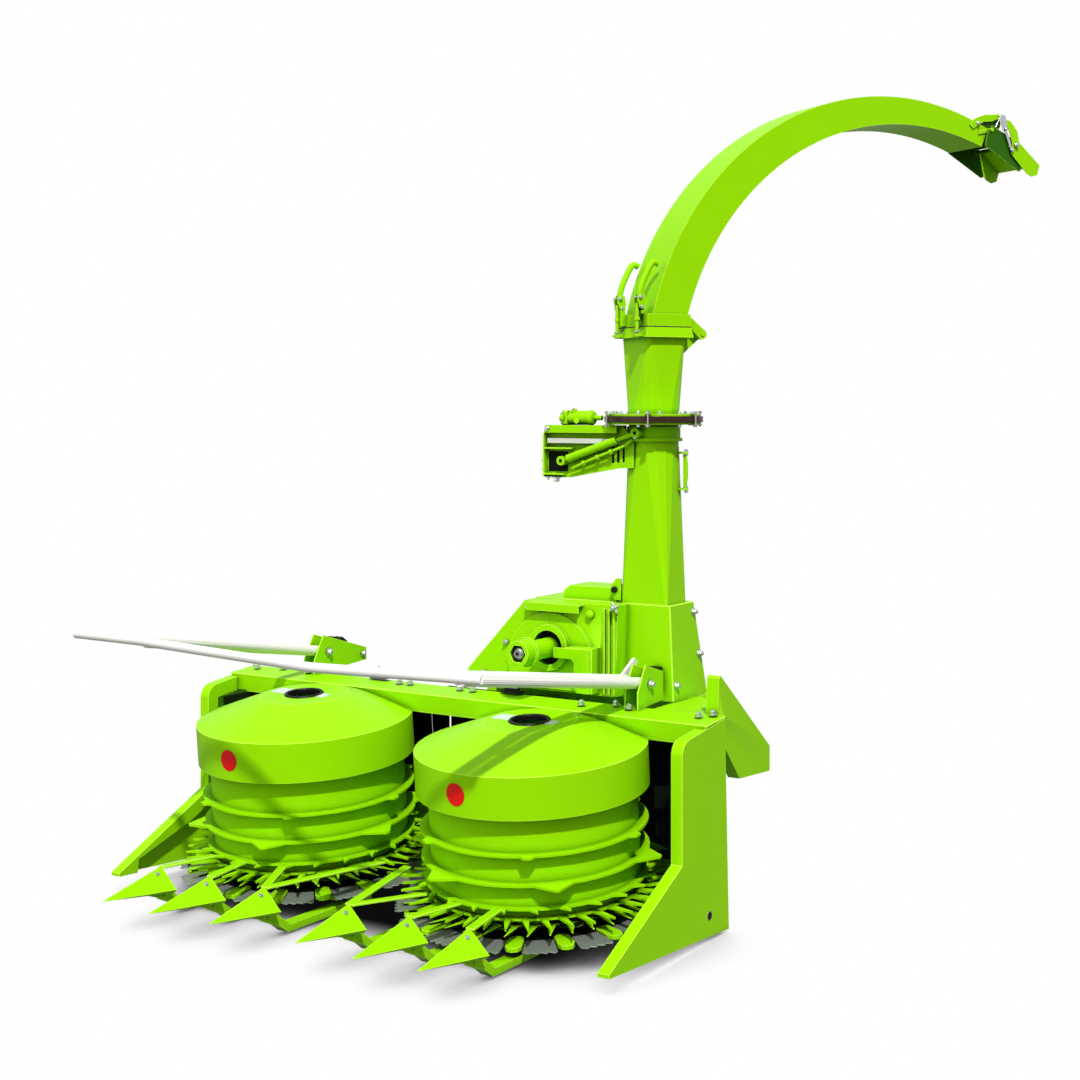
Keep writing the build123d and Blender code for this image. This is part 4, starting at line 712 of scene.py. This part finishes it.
# ---------------------------------------- clutch shaft and power input
# A painted clutch body with a hexagonal socket round a bright shaft end, and the splined steel
# power input behind.
chrome = surface("bright_steel", (0.72, 0.72, 0.74), rough=0.18, metal=1.0, cloud=0.10, grain=0.15,
                 grain_size=500.0)
steel_shaft = surface("turned_steel", (0.50, 0.50, 0.50), rough=0.3, metal=0.9, cloud=0.15,
                      grain=0.3)
CLUTCH_BOLTS = 6
CLUTCH_BOLTS_R = 0.0485
skin("clutch_shaft", lime, 0.0015)
work = bmesh.new()
turned(work, (SHAFT_X, 0.190, SHAFT_Z), (0, -1, 0),
       ((0.0, 0.0175), (0.0325, 0.0175), (0.0345, 0.0160)), 32)
turned(work, (SHAFT_X, 0.183, SHAFT_Z), (0, -1, 0),
       ((0.0, 0.0225), (0.0165, 0.0225), (0.0185, 0.0205)), 32)
piece_from("clutch_shaft_end", work, chrome, "clutch")
work = bmesh.new()
disc(work, (SHAFT_X, 0.1552, SHAFT_Z), (0, -1, 0), 0.0070, 0.0005, 24)
disc(work, (SHAFT_X, 0.1700, SHAFT_Z), (0, -1, 0), 0.0305, 0.0008, 32)
piece_from("clutch_socket_shade", work, black, "clutch")
angles = [2 * pi * step / CLUTCH_BOLTS + 0.9 for step in range(CLUTCH_BOLTS)]
bolts("clutch_bolts", [((SHAFT_X + CLUTCH_BOLTS_R * cos(a), 0.2275,
                         SHAFT_Z + CLUTCH_BOLTS_R * sin(a)), (0, 1, 0), 0.010, 0.004)
                       for a in angles], "clutch")
skin("pto_shaft", steel_shaft, 0.001)
SPLINES = 6
SPLINE_ROOT_R = 0.0165
SPLINE_HALF = 0.0042
SPLINE_RUN = Vector((0, 0.060, 0))
work = bmesh.new()
for spline in range(SPLINES):
    angle = 2 * pi * spline / SPLINES
    out = Vector((cos(angle), 0, sin(angle)))
    half = Vector((-sin(angle), 0, cos(angle))) * SPLINE_HALF
    root = Vector((0, 0.990, POWER_INPUT_Z)) + out * SPLINE_ROOT_R
    slab(work, [root - half, root + half, root + half + SPLINE_RUN, root - half + SPLINE_RUN],
         0.0022)
piece_from("pto_splines", work, steel_shaft, "pto")

# ---------------------------------------- tower
# A square base flaring to the chopper, a folded tube that turns round towards its flange, and a
# ring of brown plastic that the spout turns on. Bolts hold the base to its bracket and the chopper.
for node, width, crease in (("tower_base", 0.003, None), ("tower_tube", 0.001, 9),
                            ("turning_bracket", 0.0012, None), ("turret", 0.0012, 9),
                            ("turning_drive", 0.001, None)):
    skin(node, lime, width, crease=crease)
ring_plastic = surface("ring_plastic", (0.032, 0.011, 0.004), rough=0.22, shine=0.3, cloud=0.7,
                       grain=0.25, grain_size=30.0)
skin("wear_ring", ring_plastic, 0.0015)
BASE_BOLTS = ((0.8494, 0.503, 0.851), (0.8452, 0.6966, 0.9518), (0.8382, 0.6632, 1.1182))
bolts("base_bolts", [(at, (1, 0, 0.04), 0.019, 0.008) for at in BASE_BOLTS], "frame")

# ---------------------------------------- bolts and claws of the turning ring
# Twelve bolts clamp the turret's flange to its ring, and six steel claws on the tube's flange hold
# it down and let it turn.
TOWER = Vector((0.720, 0.560, 0))
TURRET_TOP = 1.8903
FLANGE_UNDER = 1.850
FLANGE_BOLTS_R = 0.160
CLAWS = 6
CLAW_R = 0.1985
CLAW_NUTS = ((1.8965, 1), (1.8460, -1))
CLAW_PLATES_Z = (1.8935, 1.8470)
CLAW = ((0.170, -0.009), (0.205, -0.011), (0.209, 0.0), (0.205, 0.011), (0.170, 0.009))


def round_tower(degrees, radius, height):
    """A point by its heading round the tower's axis, its distance from it and its height."""
    angle = radians(degrees)
    return TOWER + Vector((radius * cos(angle), radius * sin(angle), height))


headings = range(-82, 278, 30)
bolts("turret_bolts", [(round_tower(heading, FLANGE_BOLTS_R, TURRET_TOP), (0, 0, 1), 0.012, 0.003)
                       for heading in headings], "turret")
bolts("flange_nuts", [(round_tower(heading, FLANGE_BOLTS_R, FLANGE_UNDER), (0, 0, -1), 0.011, 0.003)
                      for heading in headings[::2] if not 150 < heading % 360 < 230], "frame")
for number in range(CLAWS):
    heading = -67 + 360 // CLAWS * number
    out = round_tower(heading, 1, 0) - TOWER
    side = Vector((-out.y, out.x, 0))
    work = bmesh.new()
    disc(work, round_tower(heading, CLAW_R, 1.842), (0, 0, 1), 0.0035, 0.058, 12)
    for height, way in CLAW_NUTS:
        turned(work, round_tower(heading, CLAW_R, height), (0, 0, way),
               ((0.0, 0.0065), (0.0045, 0.0065), (0.0055, 0.0050)), 6)
    for low in CLAW_PLATES_Z:
        slab(work, [TOWER + Vector((0, 0, low)) + out * a + side * b for a, b in CLAW], 0.003)
    piece_from(f"ring_claw_{number}", work, steel_shaft, "frame")

# ---------------------------------------- turning gear
# What sits in the bracket beside the ring: a pale plastic guide rail, a painted pipe with its
# unions, the motor's end cover and ports, and zinc-plated bolts.
rail_plastic = surface("rail_plastic", (0.60, 0.62, 0.55), rough=0.35, cloud=0.15, grain=0.3,
                       grain_size=60.0)
RAIL_Z = 1.794
work = bmesh.new()
slab(work, [(0.306, 0.452, RAIL_Z), (0.636, 0.452, RAIL_Z), (0.636, 0.438, RAIL_Z),
            (0.306, 0.438, RAIL_Z)], 0.019)
piece_from("guide_rail", work, rail_plastic, "frame")
PIPE = ((0.424, 0.436, 1.676), (0.440, 0.430, 1.683), (0.540, 0.428, 1.722),
        (0.640, 0.428, 1.757), (0.672, 0.432, 1.772), (0.690, 0.446, 1.792))
UNIONS = (0.18, 0.50, 0.80)
rod("bracket_pipe", PIPE, 0.0055, lime, "frame")
work = bmesh.new()
for share in UNIONS:
    disc(work, Vector(PIPE[1]).lerp(Vector(PIPE[3]), share), (0.94, 0, 0.35), 0.0105, 0.012, 6)
piece_from("pipe_unions", work, lime, "frame")
GEAR_BOLTS = (((0.374, 0.452, 1.893), (-1, 0, 0), 0.014, 0.004),
              ((0.374, 0.452, 1.857), (-1, 0, 0), 0.014, 0.004),
              ((0.374, 0.488, 1.893), (-1, 0, 0), 0.014, 0.004),
              ((0.288, 0.446, 1.706), (-1, 0, 0), 0.013, 0.004),
              ((0.288, 0.446, 1.672), (-1, 0, 0), 0.013, 0.004),
              ((0.344, 0.446, 1.640), (0, 0, -1), 0.024, 0.003),
              ((0.308, 0.440, 1.640), (0, 0, -1), 0.012, 0.002),
              ((0.310, 0.428, 1.832), (0, -1, 0), 0.013, 0.003),
              ((0.700, 0.4525, 1.803), (0, -1, 0), 0.012, 0.003))
bolts("gear_bolts", GEAR_BOLTS, "frame")
PORT = Vector((0.420, 0.462, 1.893))
PORT_AXIS = Vector((-0.25, -0.45, 1))
PIN_HOLE_SHADES = ((0.380, 1.706), (0.716, 1.818))
DARK_PANES = ((0.304, 0.392, 0.4540, 1.664, 1.742, 0.0008),
              (0.586, 0.660, 0.4640, 1.692, 1.776, -0.003))
work = bmesh.new()
turned(work, (0.484, 0.470, 1.875), (1, 0, 0),
       ((0.0, 0.0300), (0.010, 0.0310), (0.018, 0.0260), (0.022, 0.0150)), 32)
turned(work, PORT, PORT_AXIS, ((-0.010, 0.0135), (0.014, 0.0135), (0.016, 0.0115)), 6)
turned(work, (0.372, 0.440, 1.874), (-1, 0, 0),
       ((-0.012, 0.0140), (0.004, 0.0140), (0.006, 0.0110)), 20)
turned(work, (0.440, 0.446, 1.862), (0, -1, 0.2),
       ((-0.012, 0.0120), (0.006, 0.0120), (0.008, 0.0100)), 20)
piece_from("motor_cover", work, lime, "frame")
# The near-black discs and panes are painted shade: the port's opening, the holes of two pin eyes, a
# pocket in the bracket and the slots in its plate.
work = bmesh.new()
disc(work, PORT + PORT_AXIS.normalized() * 0.0162, PORT_AXIS, 0.0080, 0.0006, 20)
for x, z in PIN_HOLE_SHADES:
    disc(work, (x, 0.4175, z), (0, -1, 0), 0.0070, 0.0008, 20)
for low_x, high_x, y, low_z, high_z, depth in DARK_PANES:
    slab(work, [(low_x, y, low_z), (high_x, y, low_z), (high_x, y, high_z), (low_x, y, high_z)],
         depth)
piece_from("gear_recesses", work, shade_black, "frame")

# ---------------------------------------- stay beside the tube
# A painted lever between two welded lugs, with a zinc-plated tie rod and its nuts through them.
# It stands on the tube's outer side.
STAY_LUG = ((0.812, 0.572), (0.852, 0.572), (0.858, 0.586), (0.852, 0.600), (0.812, 0.600))
STAY_LEVER = ((0.838, 1.604), (0.849, 1.604), (0.856, 1.650), (0.856, 1.700), (0.849, 1.738),
              (0.838, 1.738))
STAY_NUTS = (1.588, 1.604, 1.661, 1.728, 1.744)
work = bmesh.new()
for low in (1.596, 1.736):
    slab(work, [(x, y, low) for x, y in STAY_LUG], 0.008)
slab(work, [(x, 0.582, z) for x, z in STAY_LEVER], -0.008)
piece_from("tube_stay", work, lime, "frame")
work = bmesh.new()
disc(work, (0.845, 0.592, 1.584), (0, 0, 1), 0.005, 0.170, 12)
for height in STAY_NUTS:
    disc(work, (0.845, 0.592, height), (0, 0, 1), 0.0095, 0.008, 6)
piece_from("tube_stay_rod", work, zinc, "frame")

# ---------------------------------------- spout arch and flaps
# A box-section arch folded from sheet, hinged to the turret, ending in two linked flaps. The inner
# flap is painted dark green as shade for the inside of the duct, with a painted highlight on its
# edges.
for node, width in (("spout_arch", 0.002), ("spout_clamps", 0.001), ("flap_outer", 0.0012)):
    skin(node, lime, width)
shade_green = surface("painted_shade_green", (0.020, 0.110, 0.004), rough=0.35, shine=0.3, cloud=0.4,
                  grain=0.3, grain_size=80.0, gloss_tint=LIME_GLOSS, edge=(0.30, 0.62, 0.02))
skin("flap_inner", shade_green, 0.001)

# ---------------------------------------- clamps of the spout's joint
# Two over-centre clamps hold the arch down on the turret. Each has a painted tube handle between
# two cheeks, a link down to a catch, and zinc-plated pins.
SPOUT_YAW = radians(60)
SPOUT_D = Vector((cos(SPOUT_YAW), sin(SPOUT_YAW), 0))
SPOUT_P = Vector((-sin(SPOUT_YAW), cos(SPOUT_YAW), 0))


def spout_point(out, across, height):
    """A point given by its distance out along the spout, across it and its height."""
    return TOWER + Vector((0, 0, height)) + SPOUT_D * out + SPOUT_P * across


def spout_outline(corners, across):
    """An outline of distances out and heights, in a plane along the spout."""
    return [spout_point(out, across, height) for out, height in corners]


HANDLE = ((-0.110, 2.318), (-0.112, 2.350), (-0.100, 2.392), (-0.078, 2.436), (-0.062, 2.464),
          (-0.046, 2.478), (-0.028, 2.466))
CHEEK = ((-0.098, 2.285), (-0.122, 2.300), (-0.128, 2.330), (-0.118, 2.352), (-0.100, 2.350),
         (-0.092, 2.318))
CORE = ((-0.096, 2.288), (-0.114, 2.292), (-0.120, 2.336), (-0.100, 2.342))
CATCH = ((-0.100, 2.188), (-0.134, 2.188), (-0.134, 2.198), (-0.112, 2.201), (-0.098, 2.212))
CHEEK_THICK = 0.005
CORE_WIDE = 0.026
CATCH_WIDE = 0.032
CLAMP_PINS = ((-0.119, 2.338), (-0.112, 2.300))
PIN_HALF = 0.024
LINK_OUT = -0.122
for number, middle in enumerate((-0.082, 0.072)):
    rod(f"clamp_handle_{number}", spout_outline(HANDLE, middle), 0.0120, lime, "spout",
        12)
    work = bmesh.new()
    for across in (-0.019, 0.014):
        slab(work, spout_outline(CHEEK, middle + across), CHEEK_THICK)
    piece_from(f"clamp_cheeks_{number}", work, lime, "spout")
    work = bmesh.new()
    for out, height in CLAMP_PINS:
        disc(work, spout_point(out, middle - PIN_HALF, height), SPOUT_P, 0.0050, 2 * PIN_HALF, 12)
        for end in (-1, 1):
            turned(work, spout_point(out, middle + end * (PIN_HALF - 0.003), height),
                   SPOUT_P * end, ((0.0, 0.0075), (0.005, 0.0075), (0.0060, 0.0060)), 6)
    disc(work, spout_point(LINK_OUT, middle - CATCH_WIDE / 2, 2.206), SPOUT_P, 0.0050, CATCH_WIDE,
         12)
    piece_from(f"clamp_pins_{number}", work, zinc, "spout")
    work = bmesh.new()
    disc(work, spout_point(LINK_OUT, middle, 2.204), (0, 0, 1), 0.0075, 0.110, 12)
    disc(work, spout_point(LINK_OUT, middle, 2.250), (0, 0, 1), 0.0120, 0.012, 6)
    piece_from(f"clamp_link_{number}", work, lime, "spout")
    work = bmesh.new()
    # The black core between each pair of cheeks is painted shade.
    slab(work, spout_outline(CORE, middle - CORE_WIDE / 2), CORE_WIDE)
    piece_from(f"clamp_core_{number}", work, black, "spout")
    work = bmesh.new()
    slab(work, spout_outline(CATCH, middle - CATCH_WIDE / 2), CATCH_WIDE)
    piece_from(f"clamp_catch_{number}", work, lime, "turret")

# ---------------------------------------- seal of the spout's joint
# Four black strips lie on the turret's collar, under the arch's: painted shade for the dark groove
# of the joint.
JOINT_SHADE_UNDER = 2.2213
JOINT_SHADE_THICK = 0.0058
JOINT_SHADE_WIDE = 0.004
JOINT_SHADE_OUT, JOINT_SHADE_ACROSS = 0.0963, 0.1188
JOINT_SHADES = ((-JOINT_SHADE_OUT, JOINT_SHADE_OUT, -JOINT_SHADE_ACROSS, -JOINT_SHADE_ACROSS + JOINT_SHADE_WIDE),
         (-JOINT_SHADE_OUT, JOINT_SHADE_OUT, JOINT_SHADE_ACROSS - JOINT_SHADE_WIDE, JOINT_SHADE_ACROSS),
         (-JOINT_SHADE_OUT, -JOINT_SHADE_OUT + JOINT_SHADE_WIDE, -JOINT_SHADE_ACROSS, JOINT_SHADE_ACROSS),
         (JOINT_SHADE_OUT - JOINT_SHADE_WIDE, JOINT_SHADE_OUT, -JOINT_SHADE_ACROSS, JOINT_SHADE_ACROSS))
for number, (low_out, high_out, low_across, high_across) in enumerate(JOINT_SHADES):
    work = bmesh.new()
    slab(work, [spout_point(out, across, JOINT_SHADE_UNDER) for out, across in
                ((low_out, low_across), (high_out, low_across), (high_out, high_across),
                 (low_out, high_across))], JOINT_SHADE_THICK)
    piece_from(f"collar_joint_shade_{number}", work, black, "turret", smooth=False)

# ---------------------------------------- linkage of the flaps
# On both sides of the spout's end: a bright pressed link, a thin tie rod and their pins. A dark
# green sheet between the two hooks over the outlet is painted shade.
FLAP_LINK = ((1.6330, 3.150), (1.6450, 3.160), (1.6600, 3.156), (1.6680, 3.118), (1.6640, 3.100),
             (1.6830, 3.060), (1.7010, 3.006), (1.6920, 3.001), (1.6760, 3.040), (1.6600, 3.078),
             (1.6460, 3.096), (1.6400, 3.112), (1.6360, 3.130))
LINK_PINS = ((1.7180, 3.0350, 0.013), (1.6950, 3.0120, 0.009), (1.6600, 3.0990, 0.008))
TIE = ((1.648, 3.155), (1.590, 3.055))
HOOK_PINS = ((1.650, 3.158, 0.010), (1.528, 3.118, 0.011))
HOOK_GAP_SHADE = ((1.508, 3.094), (1.570, 3.066), (1.588, 3.082), (1.612, 3.104), (1.655, 3.106),
            (1.662, 3.124), (1.656, 3.152), (1.600, 3.138), (1.545, 3.126))
LINK_FACE, LINK_THICK = 0.1315, 0.003
TIE_FACE = 0.1130
HOOK_FACE = 0.1112
GAP_SHADE_EDGE = 0.0985
for side_name, side in (("near", -1), ("far", 1)):
    work = bmesh.new()
    slab(work, spout_outline(FLAP_LINK[::side], side * LINK_FACE), -LINK_THICK)
    piece_from(f"flap_link_{side_name}", work, chrome, "flap_outer")
    bolts(f"flap_link_pins_{side_name}",
          [(spout_point(out, side * (LINK_FACE + LINK_THICK), height), SPOUT_P * side, flats, 0.002)
           for out, height, flats in LINK_PINS], "flap_outer")
    rod(f"flap_tie_{side_name}", spout_outline(TIE, side * TIE_FACE), 0.0028, zinc, "spout")
    bolts(f"hook_pins_{side_name}",
          [(spout_point(out, side * HOOK_FACE, height), SPOUT_P * side, flats, 0.002)
           for out, height, flats in HOOK_PINS], "spout")
work = bmesh.new()
slab(work, spout_outline(HOOK_GAP_SHADE, GAP_SHADE_EDGE), 2 * GAP_SHADE_EDGE)
piece_from("hook_gap_shade", work, shade_green, "spout")

# ---------------------------------------- push bar
# A bent tube on two arms in white enamel, pinned between two bracket plates a side. A black block
# between the plates behind each arm is painted shade.
white = surface("white_enamel", (0.80, 0.79, 0.76), rough=0.32, shine=0.45, cloud=0.04, grain=0.12,
                grain_size=220.0)
skin("push_bar", white, 0.0)
skin("push_brackets", lime, 0.002)
NOTCH_SHADE = ((0.412, 0.820), (0.500, 0.820), (0.500, 0.905), (0.470, 0.925), (0.440, 0.918),
          (0.430, 0.930), (0.412, 0.930))
NOTCH_SHADE_INNER, NOTCH_SHADE_WIDE = 0.7660, 0.038
for side_name, side in SIDES:
    work = bmesh.new()
    slab(work, [(side * NOTCH_SHADE_INNER, y, z) for y, z in NOTCH_SHADE], side * NOTCH_SHADE_WIDE)
    piece_from(f"arm_notch_shade_{side_name}", work, black, "frame")
BRACKET_BOLTS = ((0.360, 0.874, 0.021, 0.006), (0.590, 0.840, 0.017, 0.004))
bolts("bracket_bolts", [((x, y, z), (way, 0, 0), flats, shank)
                        for x, way in ((0.819, 1), (0.751, -1), (-0.751, 1), (-0.819, -1))
                        for y, z, flats, shank in BRACKET_BOLTS], "frame")

# ---------------------------------------- drain hole of the right panel
# A round hole through the panel's lower rear corner, with a rim of bare steel where it was cut. Its
# dark inside is a black disc on the panel: painted shade.
PANEL_FACE = 1.1492
HOLE_Y, HOLE_Z = 0.204, 0.0933
HOLE_PROUD = 0.0008
work = bmesh.new()
turned(work, (PANEL_FACE, HOLE_Y, HOLE_Z), (1, 0, 0),
       ((0.0, 0.0175), (0.0014, 0.0175), (0.0018, 0.0165)), 32)
piece_from("panel_hole_rim", work, zinc, "frame")
work = bmesh.new()
disc(work, (PANEL_FACE + HOLE_PROUD, HOLE_Y, HOLE_Z), (1, 0, 0), 0.0145, 0.0016, 32)
piece_from("panel_hole", work, black, "frame")
